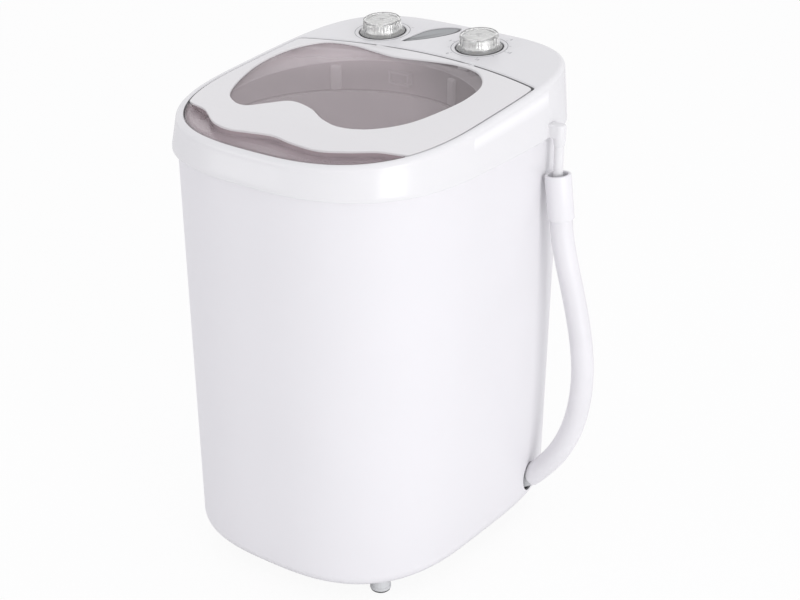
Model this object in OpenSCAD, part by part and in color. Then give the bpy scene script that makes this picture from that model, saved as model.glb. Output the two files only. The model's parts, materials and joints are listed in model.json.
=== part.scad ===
// Compact top-loading washing machine: one tub under a tinted lid, two knobs on the rear deck,
// and a drain hose that hangs on a peg at the right. Front is -Y, right is +X, the floor is Z = 0.
// Every piece is drawn round the casing's middle, then moved into the part's frame.

/* [Casing] */
// Width over the collar's flared lip
body_w = 328; // [310:1:350]
// Depth over the collar's flared lip
body_d = 392; // [380:1:420]
// How far the widest line of the plan lies in front of its middle
widest_front = 22; // [12:1:32]
// Squareness of the front half of the plan
front_power = 2.75; // [2.6:0.05:3.2]
// Squareness of the rear half of the plan
back_power = 4; // [3.6:0.1:5]
// Wall thickness of the casing and the collar
wall = 3; // [2.5:0.1:3.5]
// Height of the casing's underside above the floor
floor_gap = 18; // [14:1:24]
// Radius of the casing's bottom edge
bottom_r = 15; // [10:1:18]
// How far the casing stands inside the collar's lip
lip_step = 5; // [4.5:0.5:7]
// How much further in the casing stands at its foot
body_draft = 7; // [3:0.5:8]
// Height of the seam between casing and collar
seam_z = 451; // [430:1:470]
// Width of the casing's turned-in bottom flange
flange_w = 25; // [20:1:30]
// Thickness of the base plate
base_t = 3; // [2:0.5:4]

/* [Collar] */
// Height of the deck plane above the seam, over the middle of the footprint
collar_h = 48.5; // [46:0.5:54]
// Slope of the deck and the lid down to the front, in degrees
top_tilt = 5; // [4:0.25:5.5]
// Height of the flared lip
lip_h = 5; // [4:0.5:8]
// How far the collar leans in from its lip to its rim
collar_draft = 3.5; // [2:0.5:5]
// Radius of the collar's top edge
rim_r = 6; // [5:0.5:8]
// Depth of the recess that holds the lid
recess_depth = 12; // [11:0.5:13]
// Depth of the deck behind the middle of the lid's rear edge
rear_deck = 95.7; // [94:0.1:98]
// How far the lid's rear edge curves forward at its corners
rear_sag = 27; // [20:1:30]
// Gap behind the lid
rear_gap = 3.6; // [3.4:0.1:5]
// Gap round the lid's sides
side_gap = 1.5; // [1:0.1:2]

/* [Lid] */
// Thickness of the lid's white skin
skin_t = 2.5; // [2:0.5:3]
// Height of the whole lid
lid_h = 10; // [9:0.5:11]
// Thickness of the tinted panel
panel_t = 2.5; // [2:0.5:3]
// Width of the lid's downturned edge
lid_edge_t = 2.5; // [2:0.5:3]
// Radius of the hinge pins
pin_r = 1.25; // [1:0.25:1.5]
// Distance of each hinge knuckle from the middle
hinge_x = 52; // [40:1:52]
// Width of a hinge knuckle
ear_w = 12; // [8:1:12]

/* [Tub] */
// Room between the casing's lip and the tub's inner wall, at each side
tub_side = 33; // [32:0.5:39]
// Ledge between the front of the lid's opening and the tub's throat
ledge_front = 9; // [8:0.5:10]
// Ledge between the rear of the lid's opening and the tub's throat
ledge_rear = 7.9; // [7:0.1:9]
// Inner height of the tub from the pulsator's well to its rim
tub_h = 310; // [280:5:320]
// Number of guide ribs round the tub's mouth
rib_count = 6; // [4:1:8]
// Width of the tub's floor round the pulsator
tub_floor_w = 43; // [39:1:51]
// Number of vanes on the pulsator
vane_count = 4; // [3:1:6]

/* [Drive] */
// Radius of the drive shaft
shaft_r = 6; // [5:0.5:7]
// Groove radius of the pulley under the tub
big_groove_r = 66; // [60:1:70]
// Groove radius of the motor's pulley
small_groove_r = 12; // [11:1:14]
// Height of the belt's middle above the floor
belt_z = 54; // [52:1:58]
// Distance of the motor's axis in front of the casing's rear
motor_rear = 57; // [56:1:58]
// Radius of the motor
motor_r = 38; // [34:1:39]
// Height of the motor
motor_h = 72; // [60:1:80]

/* [Controls] */
// Radius of a knob's skirt
knob_r = 24.5; // [22:0.5:25]
// Height of a knob above the deck
knob_h = 15; // [13:0.5:18]
// Number of grip flutes round a knob
flute_count = 12; // [8:1:16]
// Distance of the timer knob to the right of the middle
timer_x = 38; // [34:1:44]
// Distance of the timer knob in front of the casing's rear
timer_rear = 52; // [50:1:54]
// Distance of the mode knob to the left of the middle
mode_x = 82; // [78:1:88]
// Distance of the mode knob in front of the casing's rear
mode_rear = 63; // [60:1:65]

/* [Hose] */
// Outer diameter of the drain hose
hose_d = 24; // [20:1:26]
// Outer diameter of the cuff on the hose's end
cuff_d = 28; // [28:1:32]
// Diameter of the hanging peg
peg_d = 10; // [8:1:11]

/* [Feet] */
// Radius of a foot
foot_r = 11; // [9:0.5:12]
// Height of a foot's rubber pad
pad_h = 6; // [5:0.5:8]

/* [Hidden] */

// Facets of round things, and points round the plan
$fn = 64;
plan_n = 80;
// Clearances: a still fit, a running fit, and a gap between parts that move apart
fit = 0.02;
run = 0.05;
gap = 0.3;
// Overlap that makes a cut or a joined piece sure
eps = 0.5;

// Heights
top_z = seam_z + collar_h;
flange_top = floor_gap + wall;
base_top = flange_top + base_t;
shoulder_z = seam_z + wall;
seat_z = seam_z + 11;
gasket_t = 2;
tub_rim_z = seat_z - gasket_t;
tub_floor_z = tub_rim_z - tub_h;

// The lid's opening, and the tub and throat that fit in it
recess_inset = 11;
lid_rear = body_d / 2 - rear_deck;
opening_d = body_d / 2 - recess_inset + lid_rear + rear_gap;
throat_step = 5;
tub_r = min(body_w / 2 - tub_side, (opening_d - ledge_front - ledge_rear) / 2 - throat_step);
throat_r = tub_r + throat_step;
tub_y = throat_r + ledge_front + recess_inset - body_d / 2;
pulsator_r = tub_r - tub_floor_w;
tub_flange_r = throat_r + 7;
tub_draft = 3;
tub_wall = 3;
tub_skin = 0.6;
well_r = pulsator_r + 4;
well_h = 12;
tub_fillet = 10;
tub_screw_r = (tub_r + tub_wall + tub_flange_r) / 2 + 1;
tub_screw_count = 8;
rib_start = 12;
screw_r = 2;
head_r = 3.5;
head_h = 2.5;

// Lid and its hinge, in the sloping plane of the deck
lid_inset = recess_inset + side_gap;
lid_front = lid_inset - body_d / 2;
rear_half = body_w / 2 - 14;
edge_r = 1.3;
hinge_y = lid_rear - 3.8;
hinge_h = -2.8;
ear_r = 2.6;
cheek_w = 4.5;
cheek_x = hinge_x + ear_w / 2 + gap + cheek_w / 2;
panel_low = panel_t - lid_h;
// The finger recess: its rim beside the lid's edge, its width and its height at the rim
scoop_rim = 1.5;
scoop_w = 18;
scoop_top = -1;
// The window's outline and the wavy front edge of the white skin, as shares of the casing's
// half width and of the lid's depth from its front
window_shape = [
    [-0.6829, 0.3541], [-0.5732, 0.2977], [-0.4695, 0.2907], [-0.3841, 0.34], [-0.2683, 0.3999],
    [-0.0915, 0.3823], [0.0793, 0.3259], [0.2439, 0.3013], [0.4146, 0.3365], [0.5549, 0.4352],
    [0.622, 0.5761], [0.6463, 0.7171], [0.6037, 0.8474], [0.4756, 0.932], [0.2927, 0.9602],
    [0.0915, 0.939], [-0.1463, 0.9109], [-0.3415, 0.9249], [-0.5366, 0.9426], [-0.6951, 0.9073],
    [-0.7927, 0.7946], [-0.8232, 0.6466], [-0.7561, 0.4986]
];
wave_shape = [
    [-0.8537, 0.2167], [-0.7866, 0.2097], [-0.6524, 0.1885], [-0.4817, 0.1216], [-0.3354, 0.1004],
    [-0.2012, 0.1145], [-0.0366, 0.1321], [0.1341, 0.1145], [0.3293, 0.111], [0.4878, 0.1498],
    [0.6463, 0.2026], [0.7866, 0.2202], [0.8659, 0.2308]
];
window_points = [for (p = window_shape) lid_point(p)];
wave_points = [for (p = wave_shape) lid_point(p)];
// The inlet's leaf, its points as distances from the middle and behind the casing's rear
leaf_shape = [[-45, -77], [-24, -57], [-9, -32], [-10, -16], [-26, -20], [-40, -36], [-45, -58]];
leaf_points = [for (p = leaf_shape) [p[0], body_d / 2 + p[1]]];
bumper_r = 4;
bumper_front = plan_point(-40, lid_inset + 15.5);
bumper_rear = [side_at(lid_rear - 40, lid_inset + 3.1), lid_rear - 40];

// Knobs and switches, in the sloping plane of the deck
timer_at = [timer_x, body_d / 2 - timer_rear];
mode_at = [-mode_x, body_d / 2 - mode_rear];
dial_depth = 3;
dial_r = knob_r + 1.5;
pad_depth = dial_depth + 3;
stem_r = 3;
bush_r = 5;
bush_h = 2.5;
switch_w = 40;
switch_h = 35;
core_r = knob_r - 7.5;

// Feet
foot_at = [body_w / 2 - 60, 74 - body_d / 2];
rear_foot_y = body_d / 2 - 71;
stud_r = 3;
nut_h = 4;

// Drive
hub_z = tub_floor_z - tub_wall;
pulley_h = 14;
belt_w = 6;
belt_t = 5;
groove_w = 7;
rim_h = 4;
shaft_top = tub_floor_z + 26;
shaft_bottom = belt_z - pulley_h / 2 - 5;
motor_back = body_d / 2 - motor_rear;
motor_plate_t = 3;
motor_base = belt_z + pulley_h / 2 + 9;
motor_stem_r = 5;
bracket_x = 50;
bracket_front = motor_back - 36;
bracket_rear = motor_back + 30;
post_r = 6;
capacitor_at = [72 - body_w / 2, body_d / 2 - 134];
capacitor_r = 17;
capacitor_h = 60;

// Drain: where the tub empties, where the pipe turns up to the wall, and the outlet's slope
pipe_r = hose_d / 2 - 1.3;
pipe_bore = pipe_r - 1.7;
outlet_r = well_r + tub_wall + gap + pipe_r;
outlet_angle = 51.5;
outlet_at = [outlet_r * cos(outlet_angle), tub_y + outlet_r * sin(outlet_angle)];
bend_at = [body_w / 2 - 31.7, body_d / 2 - 101, 38];
outlet_tilt = 34;
outlet_len = 23.9;
wall_hole_r = hose_d / 2 + 2.5;
hose_exit = bend_at + outlet_len * [cos(outlet_tilt), 0, sin(outlet_tilt)];
hose_y = bend_at[1];
// The hose's route from the outlet to the cuff, as distance beyond the casing's lip and height
hose_bends = [
    [-1, 63.5], [9, 75.5], [18, 88], [26, 102], [33, 117.5], [38.5, 134], [42.5, 151.5],
    [45, 169.5], [46, 187.5], [45.5, 205.5], [43.5, 223.5], [40.5, 241.5], [36.5, 259.5],
    [32, 277.5], [27, 295.5], [22, 313], [17.5, 330.5], [14, 347.5], [11.8, 365]
];
hose_route = concat([[hose_exit[0], hose_exit[2]]], [for (p = hose_bends) [body_w / 2 + p[0], p[1]]]);
hose_sides = 12;
cuff_len = 48;
cuff_tilt = 7.2;
peg_x = body_w / 2 + 6;
lug_h = 15;
lug_r = 6.5;
boss_drop = 8;
peg_depth = 8;
peg_len = 68;
// The part's origin is the middle of its footprint with the hose's lug, and the casing's middle
// lies this far to the left of it
frame_x = (peg_x + lug_r - body_w / 2) / 2;

// Water inlet
inlet_at = [-27, body_d / 2 - 44];
inlet_lean = 28;
inlet_w = 13;
inlet_l = 28;
inlet_mouth = 3;
chute_x = -28;
chute_w = 26;
chute_wall = 2;
slot_z = seat_z + 9;
slot_h = 14;

// Cord gland at the rear
gland_at = [-40, 56];
gland_r = 8;

// Outlines

// A rounded edge that is squarer as the power grows
function bulge(c, power) = sign(c) * pow(abs(c), 2 / power);

function plan_point(t, inset) =
    let (rear = sin(t) >= 0,
         power = rear ? back_power : front_power,
         reach = body_d / 2 + (rear ? widest_front : -widest_front) - inset)
    [(body_w / 2 - inset) * bulge(cos(t), power), reach * bulge(sin(t), power) - widest_front];

// The casing's plan, drawn in by an inset
function plan(inset) = [for (i = [0 : plan_n - 1]) plan_point(360 * i / plan_n, inset)];

// The plan's half width at a distance behind the middle
function side_at(y, inset) =
    (body_w / 2 - inset)
        * pow(1 - pow((y + widest_front) / (body_d / 2 + widest_front - inset), back_power), 1 / back_power);

// A place on the lid, from its shares of the casing's half width and of the lid's depth
function lid_point(share) = [share[0] * body_w / 2, lid_front + share[1] * (lid_rear - lid_front)];

// The share of the way to a point of the plan at which the curved rear edge crosses it
function rear_share(dx, dy, rear) =
    let (k = rear_sag * pow(dx / rear_half, 2), reach = rear + widest_front)
    dy <= 0 ? 1 : k < 0.001 ? reach / dy : (sqrt(dy * dy + 4 * k * reach) - dy) / (2 * k);

function clip_rear(p, rear) =
    let (s = min(1, rear_share(p[0], p[1] + widest_front, rear)))
    [p[0] * s, (p[1] + widest_front) * s - widest_front];

// The plan cut off behind by the lid's curved rear edge
function lid_plan(inset, rear) = [for (p = plan(inset)) clip_rear(p, rear)];

// Points round the tub's axis, in the directions of an outline's points
function round_plan(points, r) =
    [for (p = points) let (d = p - [0, tub_y]) [0, tub_y] + r * d / norm(d)];

function spline(a, b, c, d, t) =
    0.5 * (2 * b + (c - a) * t + (2 * a - 5 * b + 4 * c - d) * t * t + (3 * b - a - 3 * c + d) * t * t * t);

function smooth_loop(p, steps) =
    let (n = len(p))
    [for (i = [0 : n - 1], j = [0 : steps - 1])
        spline(p[(i + n - 1) % n], p[i], p[(i + 1) % n], p[(i + 2) % n], j / steps)];

function smooth_line(p, steps) =
    [for (i = [1 : len(p) - 3], j = [0 : steps]) if (j < steps || i == len(p) - 3)
        spline(p[i - 1], p[i], p[i + 1], p[i + 2], j / steps)];

// A loop that runs anticlockwise, moved outwards by a distance
function grow(p, d) =
    let (n = len(p))
    [for (i = [0 : n - 1]) let (t = p[(i + 1) % n] - p[(i + n - 1) % n]) p[i] + d * [t[1], -t[0]] / norm(t)];

// Lofted shells

function at_height(points, z) = [for (p = points) [p[0], p[1], z]];

// A point of the deck's sloping plane, at a height square to it
function deck_point(p, h) =
    [p[0], p[1] * cos(top_tilt) - h * sin(top_tilt), top_z + p[1] * sin(top_tilt) + h * cos(top_tilt)];

function on_deck_plane(points, h) = [for (p = points) deck_point(p, h)];

// A closed band of rings of equal length, each joined to the next and the last to the first
module ring_loft(rings) {
    n = len(rings[0]);
    m = len(rings);
    polyhedron(
        points = [for (ring = rings, p = ring) p],
        faces = [for (i = [0 : m - 1], j = [0 : n - 1], half = [0, 1])
            let (a = i * n + j, b = i * n + (j + 1) % n,
                 c = ((i + 1) % m) * n + (j + 1) % n, d = ((i + 1) % m) * n + j)
            half == 0 ? [a, c, b] : [a, d, c]]
    );
}

// A stack of rings with a flat face at each end
module solid_loft(rings) {
    n = len(rings[0]);
    m = len(rings);
    polyhedron(
        points = [for (ring = rings, p = ring) p],
        faces = concat(
            [[for (j = [0 : n - 1]) j]],
            [for (i = [0 : m - 2], j = [0 : n - 1], half = [0, 1])
                let (a = i * n + j, b = i * n + (j + 1) % n, c = b + n, d = a + n)
                half == 0 ? [a, c, b] : [a, d, c]],
            [[for (j = [n - 1 : -1 : 0]) (m - 1) * n + j]]
        )
    );
}

module on_deck(p = [0, 0], h = 0) {
    translate([0, 0, top_z]) rotate([top_tilt, 0, 0]) translate([p[0], p[1], h]) children();
}

// An outline on the deck, extruded between two heights
module deck_slab(points, low, high) {
    on_deck(h = low) linear_extrude(high - low) polygon(points);
}

// Places

module in_frame() {
    translate([-frame_x, 0, 0]) children();
}

module each_foot() {
    for (side = [-1, 1], y = [foot_at[1], rear_foot_y]) translate([side * foot_at[0], y, 0]) children();
}

module round_tub(count, r, start = 0) {
    for (i = [0 : count - 1])
        translate([0, tub_y, 0]) rotate(start + 360 * i / count) translate([r, 0, 0]) children();
}

module bracket_corners() {
    for (side = [-1, 1], y = [bracket_front, bracket_rear]) translate([side * bracket_x, y, 0]) children();
}

module hinge_sides(x) {
    for (side = [-1, 1]) on_deck([side * x, hinge_y], hinge_h) rotate([0, 90, 0]) children();
}

module outlet_axis() {
    translate(bend_at) rotate([0, 90 - outlet_tilt, 0]) children();
}

module cuff_axis() {
    translate([hose_route[len(hose_route) - 1][0], hose_y, hose_route[len(hose_route) - 1][1]])
        rotate([0, -cuff_tilt, 0]) children();
}

// Casing

module body_shell() {
    foot_inset = lip_step + body_draft;
    turn = foot_inset + bottom_r;
    inner_r = bottom_r - wall;
    rings = concat(
        [at_height(plan(turn + flange_w), flange_top), at_height(plan(turn + flange_w), floor_gap)],
        [for (a = [90 : -22.5 : 0])
            at_height(plan(turn - bottom_r * cos(a)), floor_gap + bottom_r * (1 - sin(a)))],
        [at_height(plan(lip_step), shoulder_z), at_height(plan(lip_step + wall), shoulder_z)],
        [for (a = [0 : 30 : 90])
            at_height(plan(turn - inner_r * cos(a)), floor_gap + bottom_r - inner_r * sin(a))]
    );
    in_frame() color("white") difference() {
        ring_loft(rings);
        outlet_axis() cylinder(r = wall_hole_r, h = outlet_len * 2);
        each_foot() cylinder(r = stud_r + fit, h = flange_top + eps);
        base_screw_places() cylinder(r = screw_r + fit, h = flange_top + eps);
        translate([gland_at[0], body_d / 2, gland_at[1]]) rotate([90, 0, 0])
            cylinder(r = gland_r + fit, h = 2 * bottom_r);
    }
}

// Base screws sit on the flange's middle line, between the feet
module base_screw_places() {
    flange_mid = lip_step + body_draft + bottom_r + flange_w * 0.6;
    for (t = [0, 90, 180, 270]) translate(concat(plan_point(t, flange_mid), 0)) children();
}

module base_plate() {
    slot_w = 4;
    slot_pitch = 10;
    slot_half = 3;
    in_frame() color("gainsboro") difference() {
        translate([0, 0, flange_top]) linear_extrude(base_t)
            polygon(plan(lip_step + body_draft + bottom_r + wall));
        each_foot() cylinder(r = stud_r + fit, h = base_top + eps);
        base_screw_places() cylinder(r = screw_r + fit, h = base_top + eps);
        for (i = [-slot_half : slot_half])
            translate([i * slot_pitch - slot_w / 2, bracket_front + post_r, floor_gap])
                cube([slot_w, bracket_rear - bracket_front - 2 * post_r, base_top]);
    }
}

module base_screws() {
    in_frame() color("silver") base_screw_places() {
        translate([0, 0, floor_gap - head_h]) cylinder(r = head_r, h = head_h);
        translate([0, 0, floor_gap - eps]) cylinder(r = screw_r, h = wall + base_t + 4);
    }
}

module feet() {
    plug_r = foot_r - 3;
    in_frame() color("whitesmoke") each_foot() {
        translate([0, 0, pad_h]) cylinder(r1 = foot_r - 0.5, r2 = foot_r - 1.5, h = floor_gap - pad_h);
        translate([0, 0, pad_h / 2]) cylinder(r = plug_r, h = pad_h / 2 + eps);
        translate([0, 0, floor_gap - eps]) cylinder(r = stud_r, h = wall + base_t + nut_h + 1);
    }
}

module foot_pads() {
    plug_r = foot_r - 3;
    in_frame() color("dimgray") each_foot() difference() {
        cylinder(r = foot_r, h = pad_h);
        translate([0, 0, pad_h / 2]) cylinder(r = plug_r + fit, h = pad_h);
    }
}

module foot_nuts() {
    in_frame() color("silver") each_foot() translate([0, 0, base_top]) difference() {
        cylinder(r = 2 * stud_r, h = nut_h, $fn = 6);
        translate([0, 0, -eps]) cylinder(r = stud_r + fit, h = nut_h + 2 * eps);
    }
}

module cord_gland() {
    face_y = body_d / 2 - lip_step - body_draft * (seam_z - gland_at[1]) / (seam_z - floor_gap - bottom_r);
    in_frame() color("dimgray") translate([gland_at[0], face_y, gland_at[1]]) rotate([-90, 0, 0]) difference() {
        union() {
            translate([0, 0, 0.1]) cylinder(r1 = gland_r + 3, r2 = gland_r + 1.5, h = 4);
            translate([0, 0, -wall - 6]) cylinder(r = gland_r, h = wall + 7);
            translate([0, 0, 4]) cylinder(r1 = gland_r - 1, r2 = gland_r - 3, h = 6);
        }
        translate([0, 0, -wall - 7]) cylinder(r = gland_r / 2, h = 20 + wall);
    }
}

// Collar

// Depth of the hollow's roof under each point: close under the deck, low beside the lid
function roof_depth(p, q) = norm(p - q) > 4 * wall ? -wall : -recess_depth + 1;

module collar_loft() {
    rim_inset = collar_draft + rim_r;
    edge = lid_plan(recess_inset, lid_rear + rear_gap);
    edge_top = lid_plan(recess_inset - edge_r, lid_rear + rear_gap + edge_r);
    back = lid_plan(recess_inset - wall, lid_rear + rear_gap + wall);
    skirt = plan(collar_draft + wall);
    lip_in = plan(lip_step - eps);
    under = -recess_depth - wall - 0.3;
    ledge_r = throat_r + wall;
    seat_r = tub_flange_r + 1;
    rings = concat(
        [at_height(plan(0), seam_z), at_height(plan(0), seam_z + lip_h)],
        [for (a = [0 : 22.5 : 90])
            on_deck_plane(plan(rim_inset - rim_r * cos(a)), rim_r * (sin(a) - 1))],
        [on_deck_plane(edge_top, 0), on_deck_plane(edge, -edge_r), on_deck_plane(edge, -recess_depth)],
        [on_deck_plane(round_plan(edge, throat_r), -recess_depth)],
        [at_height(round_plan(edge, throat_r), seat_z), at_height(round_plan(edge, seat_r), seat_z)],
        [at_height(round_plan(edge, seat_r), seat_z + wall)],
        [at_height(round_plan(edge, ledge_r), seat_z + wall)],
        [on_deck_plane(round_plan(edge, ledge_r), under), on_deck_plane(back, under)],
        [[for (i = [0 : plan_n - 1]) deck_point(back[i], roof_depth(back[i], skirt[i]))]],
        [[for (i = [0 : plan_n - 1]) deck_point(skirt[i], roof_depth(back[i], skirt[i]))]],
        [at_height(plan(lip_step + wall), shoulder_z), at_height(lip_in, shoulder_z), at_height(lip_in, seam_z)]
    );
    ring_loft(rings);
}

// A cheek that stands on the ledge outside a hinge knuckle
module hinge_cheek() {
    cylinder(r = ear_r, h = cheek_w, center = true);
    translate([0, -ear_r, -cheek_w / 2]) cube([recess_depth + hinge_h + eps, 2 * ear_r, cheek_w]);
}

// A rounded tab at the right that carries the hanging peg
module hose_lug() {
    root_x = side_at(hose_y - lug_r, lip_step) + gap;
    translate([0, 0, seam_z]) linear_extrude(lug_h) {
        translate([peg_x, hose_y]) circle(r = lug_r);
        translate([root_x, hose_y - lug_r]) square([peg_x - root_x, 2 * lug_r]);
    }
    translate([peg_x, hose_y, seam_z - boss_drop]) cylinder(r1 = lug_r - 1, r2 = lug_r, h = boss_drop + eps);
}

// Ribs that guide a basket down the throat
module throat_ribs() {
    rib_w = 12;
    rib_t = 4;
    difference() {
        round_tub(rib_count, throat_r - rib_t, rib_start) translate([0, -rib_w / 2, seat_z])
            cube([rib_t + wall / 2, rib_w, collar_h]);
        on_deck([-body_w / 2, -body_d / 2], -recess_depth - 1) cube([body_w, body_d, 2 * collar_h]);
    }
}

module collar() {
    in_frame() color("white") difference() {
        union() {
            collar_loft();
            for (p = [timer_at, mode_at])
                on_deck(p, -pad_depth) cylinder(r = dial_r + wall, h = pad_depth - wall / 2);
            deck_slab(grow(smooth_loop(leaf_points, 4), wall), -pad_depth, -wall / 2);
            hinge_sides(cheek_x) hinge_cheek();
            hose_lug();
            throat_ribs();
        }
        for (p = [timer_at, mode_at]) {
            on_deck(p, -dial_depth) cylinder(r = dial_r, h = dial_depth + eps);
            on_deck(p, -pad_depth - eps) cylinder(r = bush_r + fit, h = pad_depth);
        }
        deck_slab(smooth_loop(leaf_points, 4), -dial_depth - eps, eps);
        on_deck(inlet_at, -pad_depth) rotate(-inlet_lean)
            cube([inlet_w, inlet_l, 2 * pad_depth], center = true);
        hinge_sides(cheek_x) cylinder(r = pin_r + fit, h = cheek_w + eps, center = true);
        round_tub(tub_screw_count, tub_screw_r, 22.5)
            translate([0, 0, seat_z - eps]) cylinder(r = screw_r + fit, h = wall - gap + eps);
        translate([chute_x - chute_w / 2 - gap, tub_y, slot_z - gap])
            cube([chute_w + 2 * gap, throat_r + 2 * wall, slot_h + 2 * gap]);
        translate([peg_x, hose_y, seam_z - boss_drop - eps])
            cylinder(r = peg_d / 2 + fit, h = boss_drop + peg_depth + eps);
    }
}

module lid_bumpers() {
    bumper_h = recess_depth - lid_h - 0.2;
    in_frame() color("silver") for (side = [-1, 1], p = [bumper_front, bumper_rear])
        on_deck([side * p[0], p[1]], -recess_depth) cylinder(r = bumper_r, h = bumper_h);
}

module hinge_pins() {
    pin_len = ear_w + gap + cheek_w;
    in_frame() color("silver") hinge_sides(cheek_x + (cheek_w - pin_len) / 2)
        cylinder(r = pin_r, h = pin_len, center = true);
}

// Lid

module wave_front(shift = 0) {
    line = smooth_line(wave_points, 5);
    ends = [[body_w, -body_d], [-body_w, -body_d]];
    translate([0, shift]) polygon(concat(line, ends));
}

// The white skin's slab, with a softened top edge
module lid_skin() {
    solid_loft(concat(
        [on_deck_plane(lid_plan(lid_inset, lid_rear), -skin_t)],
        [for (a = [0 : 45 : 90]) let (d = edge_r * (1 - cos(a)))
            on_deck_plane(lid_plan(lid_inset + d, lid_rear - d), edge_r * (sin(a) - 1))]
    ));
}

module lid_frame() {
    window = smooth_loop(window_points, 4);
    web = 2 * ear_r;
    in_frame() color("white") difference() {
        union() {
            lid_skin();
            difference() {
                deck_slab(lid_plan(lid_inset + gap, lid_rear), -lid_h, -skin_t + eps);
                deck_slab(lid_plan(lid_inset + lid_edge_t, lid_rear), -lid_h - eps, 0);
                on_deck([-body_w / 2, hinge_y - 7 * ear_r], -lid_h - eps) cube([body_w, body_d, lid_h]);
            }
            hinge_sides(hinge_x) {
                cylinder(r = ear_r, h = ear_w, center = true);
                translate([-ear_r / 2, -web, -ear_w / 2]) cube([1.5 * ear_r, web, ear_w]);
            }
        }
        deck_slab(window, -lid_h, eps);
        on_deck(h = -lid_h - eps) linear_extrude(lid_h + 2 * eps) wave_front();
        hinge_sides(hinge_x) cylinder(r = pin_r + run, h = ear_w + 2 * eps, center = true);
        for (side = [-1, 1]) on_deck([side * cheek_x - cheek_w / 2 - gap, hinge_y - ear_r - gap], -lid_h)
            cube([cheek_w + 2 * gap, 4 * ear_r, 2 * lid_h]);
    }
}

// All of the lid's height in front of the wavy line
module before_wave(shift = 0) {
    on_deck(h = -lid_h - eps) linear_extrude(lid_h + 2 * eps) wave_front(shift);
}

// The hollow of the finger recess, which deepens from the lid's rim towards the wavy line
module finger_scoop() {
    turn = 75;
    rim = lid_inset + scoop_rim;
    solid_loft(concat(
        [for (a = [0 : turn / 5 : turn])
            on_deck_plane(
                plan(rim + scoop_w * (1 - sin(a) / sin(turn))),
                panel_low + (scoop_top - panel_low) * (1 - cos(a)) / (1 - cos(turn))
            )],
        [on_deck_plane(plan(rim), scoop_top + lid_h)]
    ));
}

// The tinted panel lies under the skin, and dips in front of it as a finger recess
module lid_panel() {
    pane = lid_plan(lid_inset + lid_edge_t + gap, lid_rear - 4 * ear_r);
    in_frame() color([0.55, 0.48, 0.5, 0.6]) {
        difference() {
            deck_slab(pane, -skin_t - panel_t, -skin_t);
            before_wave();
        }
        difference() {
            union() {
                intersection() {
                    deck_slab(pane, -lid_h, -skin_t);
                    before_wave(panel_t);
                }
                intersection() {
                    deck_slab(plan(lid_inset), -lid_h, scoop_top);
                    before_wave(-gap);
                }
            }
            intersection() {
                finger_scoop();
                before_wave();
            }
        }
    }
}

// Tub

module wash_tub() {
    floor_r = tub_r - tub_draft;
    ring_z = tub_floor_z + well_h;
    turn_r = floor_r - tub_fillet;
    inner = concat(
        [[tub_r, tub_rim_z]],
        [for (a = [0 : 15 : 90]) [turn_r + tub_fillet * cos(a), ring_z + tub_fillet * (1 - sin(a))]],
        [[well_r, ring_z], [well_r, tub_floor_z], [2 * shaft_r + 1, tub_floor_z]]
    );
    outer_turn = tub_fillet + tub_wall;
    outer = concat(
        [[2 * shaft_r + 1, hub_z], [well_r + tub_wall, hub_z], [well_r + tub_wall, ring_z - tub_wall]],
        [for (a = [90 : -15 : 0]) [turn_r + outer_turn * cos(a), ring_z + tub_fillet - outer_turn * sin(a)]],
        [[tub_r + tub_wall, tub_rim_z - tub_wall], [tub_flange_r, tub_rim_z - tub_wall]],
        [[tub_flange_r, tub_rim_z]]
    );
    spigot_len = 18;
    in_frame() color("gainsboro") difference() {
        union() {
            translate([0, tub_y, 0]) rotate_extrude($fn = 96) polygon(concat(inner, outer));
            translate([outlet_at[0], outlet_at[1], ring_z - spigot_len])
                cylinder(r = pipe_bore, h = spigot_len - eps);
        }
        translate([outlet_at[0], outlet_at[1], ring_z - spigot_len - eps])
            cylinder(r = pipe_bore - 2, h = spigot_len + 2 * eps);
        round_tub(tub_screw_count, tub_screw_r, 22.5)
            translate([0, 0, tub_rim_z - tub_wall - eps]) cylinder(r = screw_r + fit, h = tub_wall + 2 * eps);
        housing_screw_places() translate([0, 0, hub_z - eps])
            cylinder(r = screw_r + fit, h = tub_wall - tub_skin + eps);
    }
}

module tub_gasket() {
    in_frame() color("dimgray") translate([0, tub_y, tub_rim_z]) difference() {
        cylinder(r = tub_flange_r, h = gasket_t);
        translate([0, 0, -eps]) cylinder(r = throat_r, h = gasket_t + 2 * eps);
        translate([0, -tub_y, -tub_rim_z]) round_tub(tub_screw_count, tub_screw_r, 22.5)
            translate([0, 0, tub_rim_z - eps]) cylinder(r = screw_r + fit, h = gasket_t + 2 * eps);
    }
}

module tub_screws() {
    in_frame() color("silver") round_tub(tub_screw_count, tub_screw_r, 22.5) {
        translate([0, 0, tub_rim_z - tub_wall - head_h]) cylinder(r = head_r, h = head_h);
        translate([0, 0, tub_rim_z - tub_wall - eps])
            cylinder(r = screw_r, h = tub_wall + gasket_t + wall - 2 * gap + eps);
    }
}

module drain_strainer() {
    cap_r = pipe_bore + 2;
    cap_h = 3;
    slot_w = 1.6;
    in_frame() color("whitesmoke") translate([outlet_at[0], outlet_at[1], tub_floor_z + well_h]) difference() {
        union() {
            cylinder(r = cap_r, h = cap_h);
            translate([0, 0, -6]) cylinder(r = pipe_bore - 2 - gap, h = 6 + eps);
        }
        translate([0, 0, -6 - eps]) cylinder(r = pipe_bore - 4, h = 7 + eps);
        for (i = [-2 : 2]) translate([i * 2 * slot_w - slot_w / 2, -cap_r * 0.6, -eps])
            cube([slot_w, cap_r * 1.2, 2 * cap_h]);
    }
}

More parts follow.
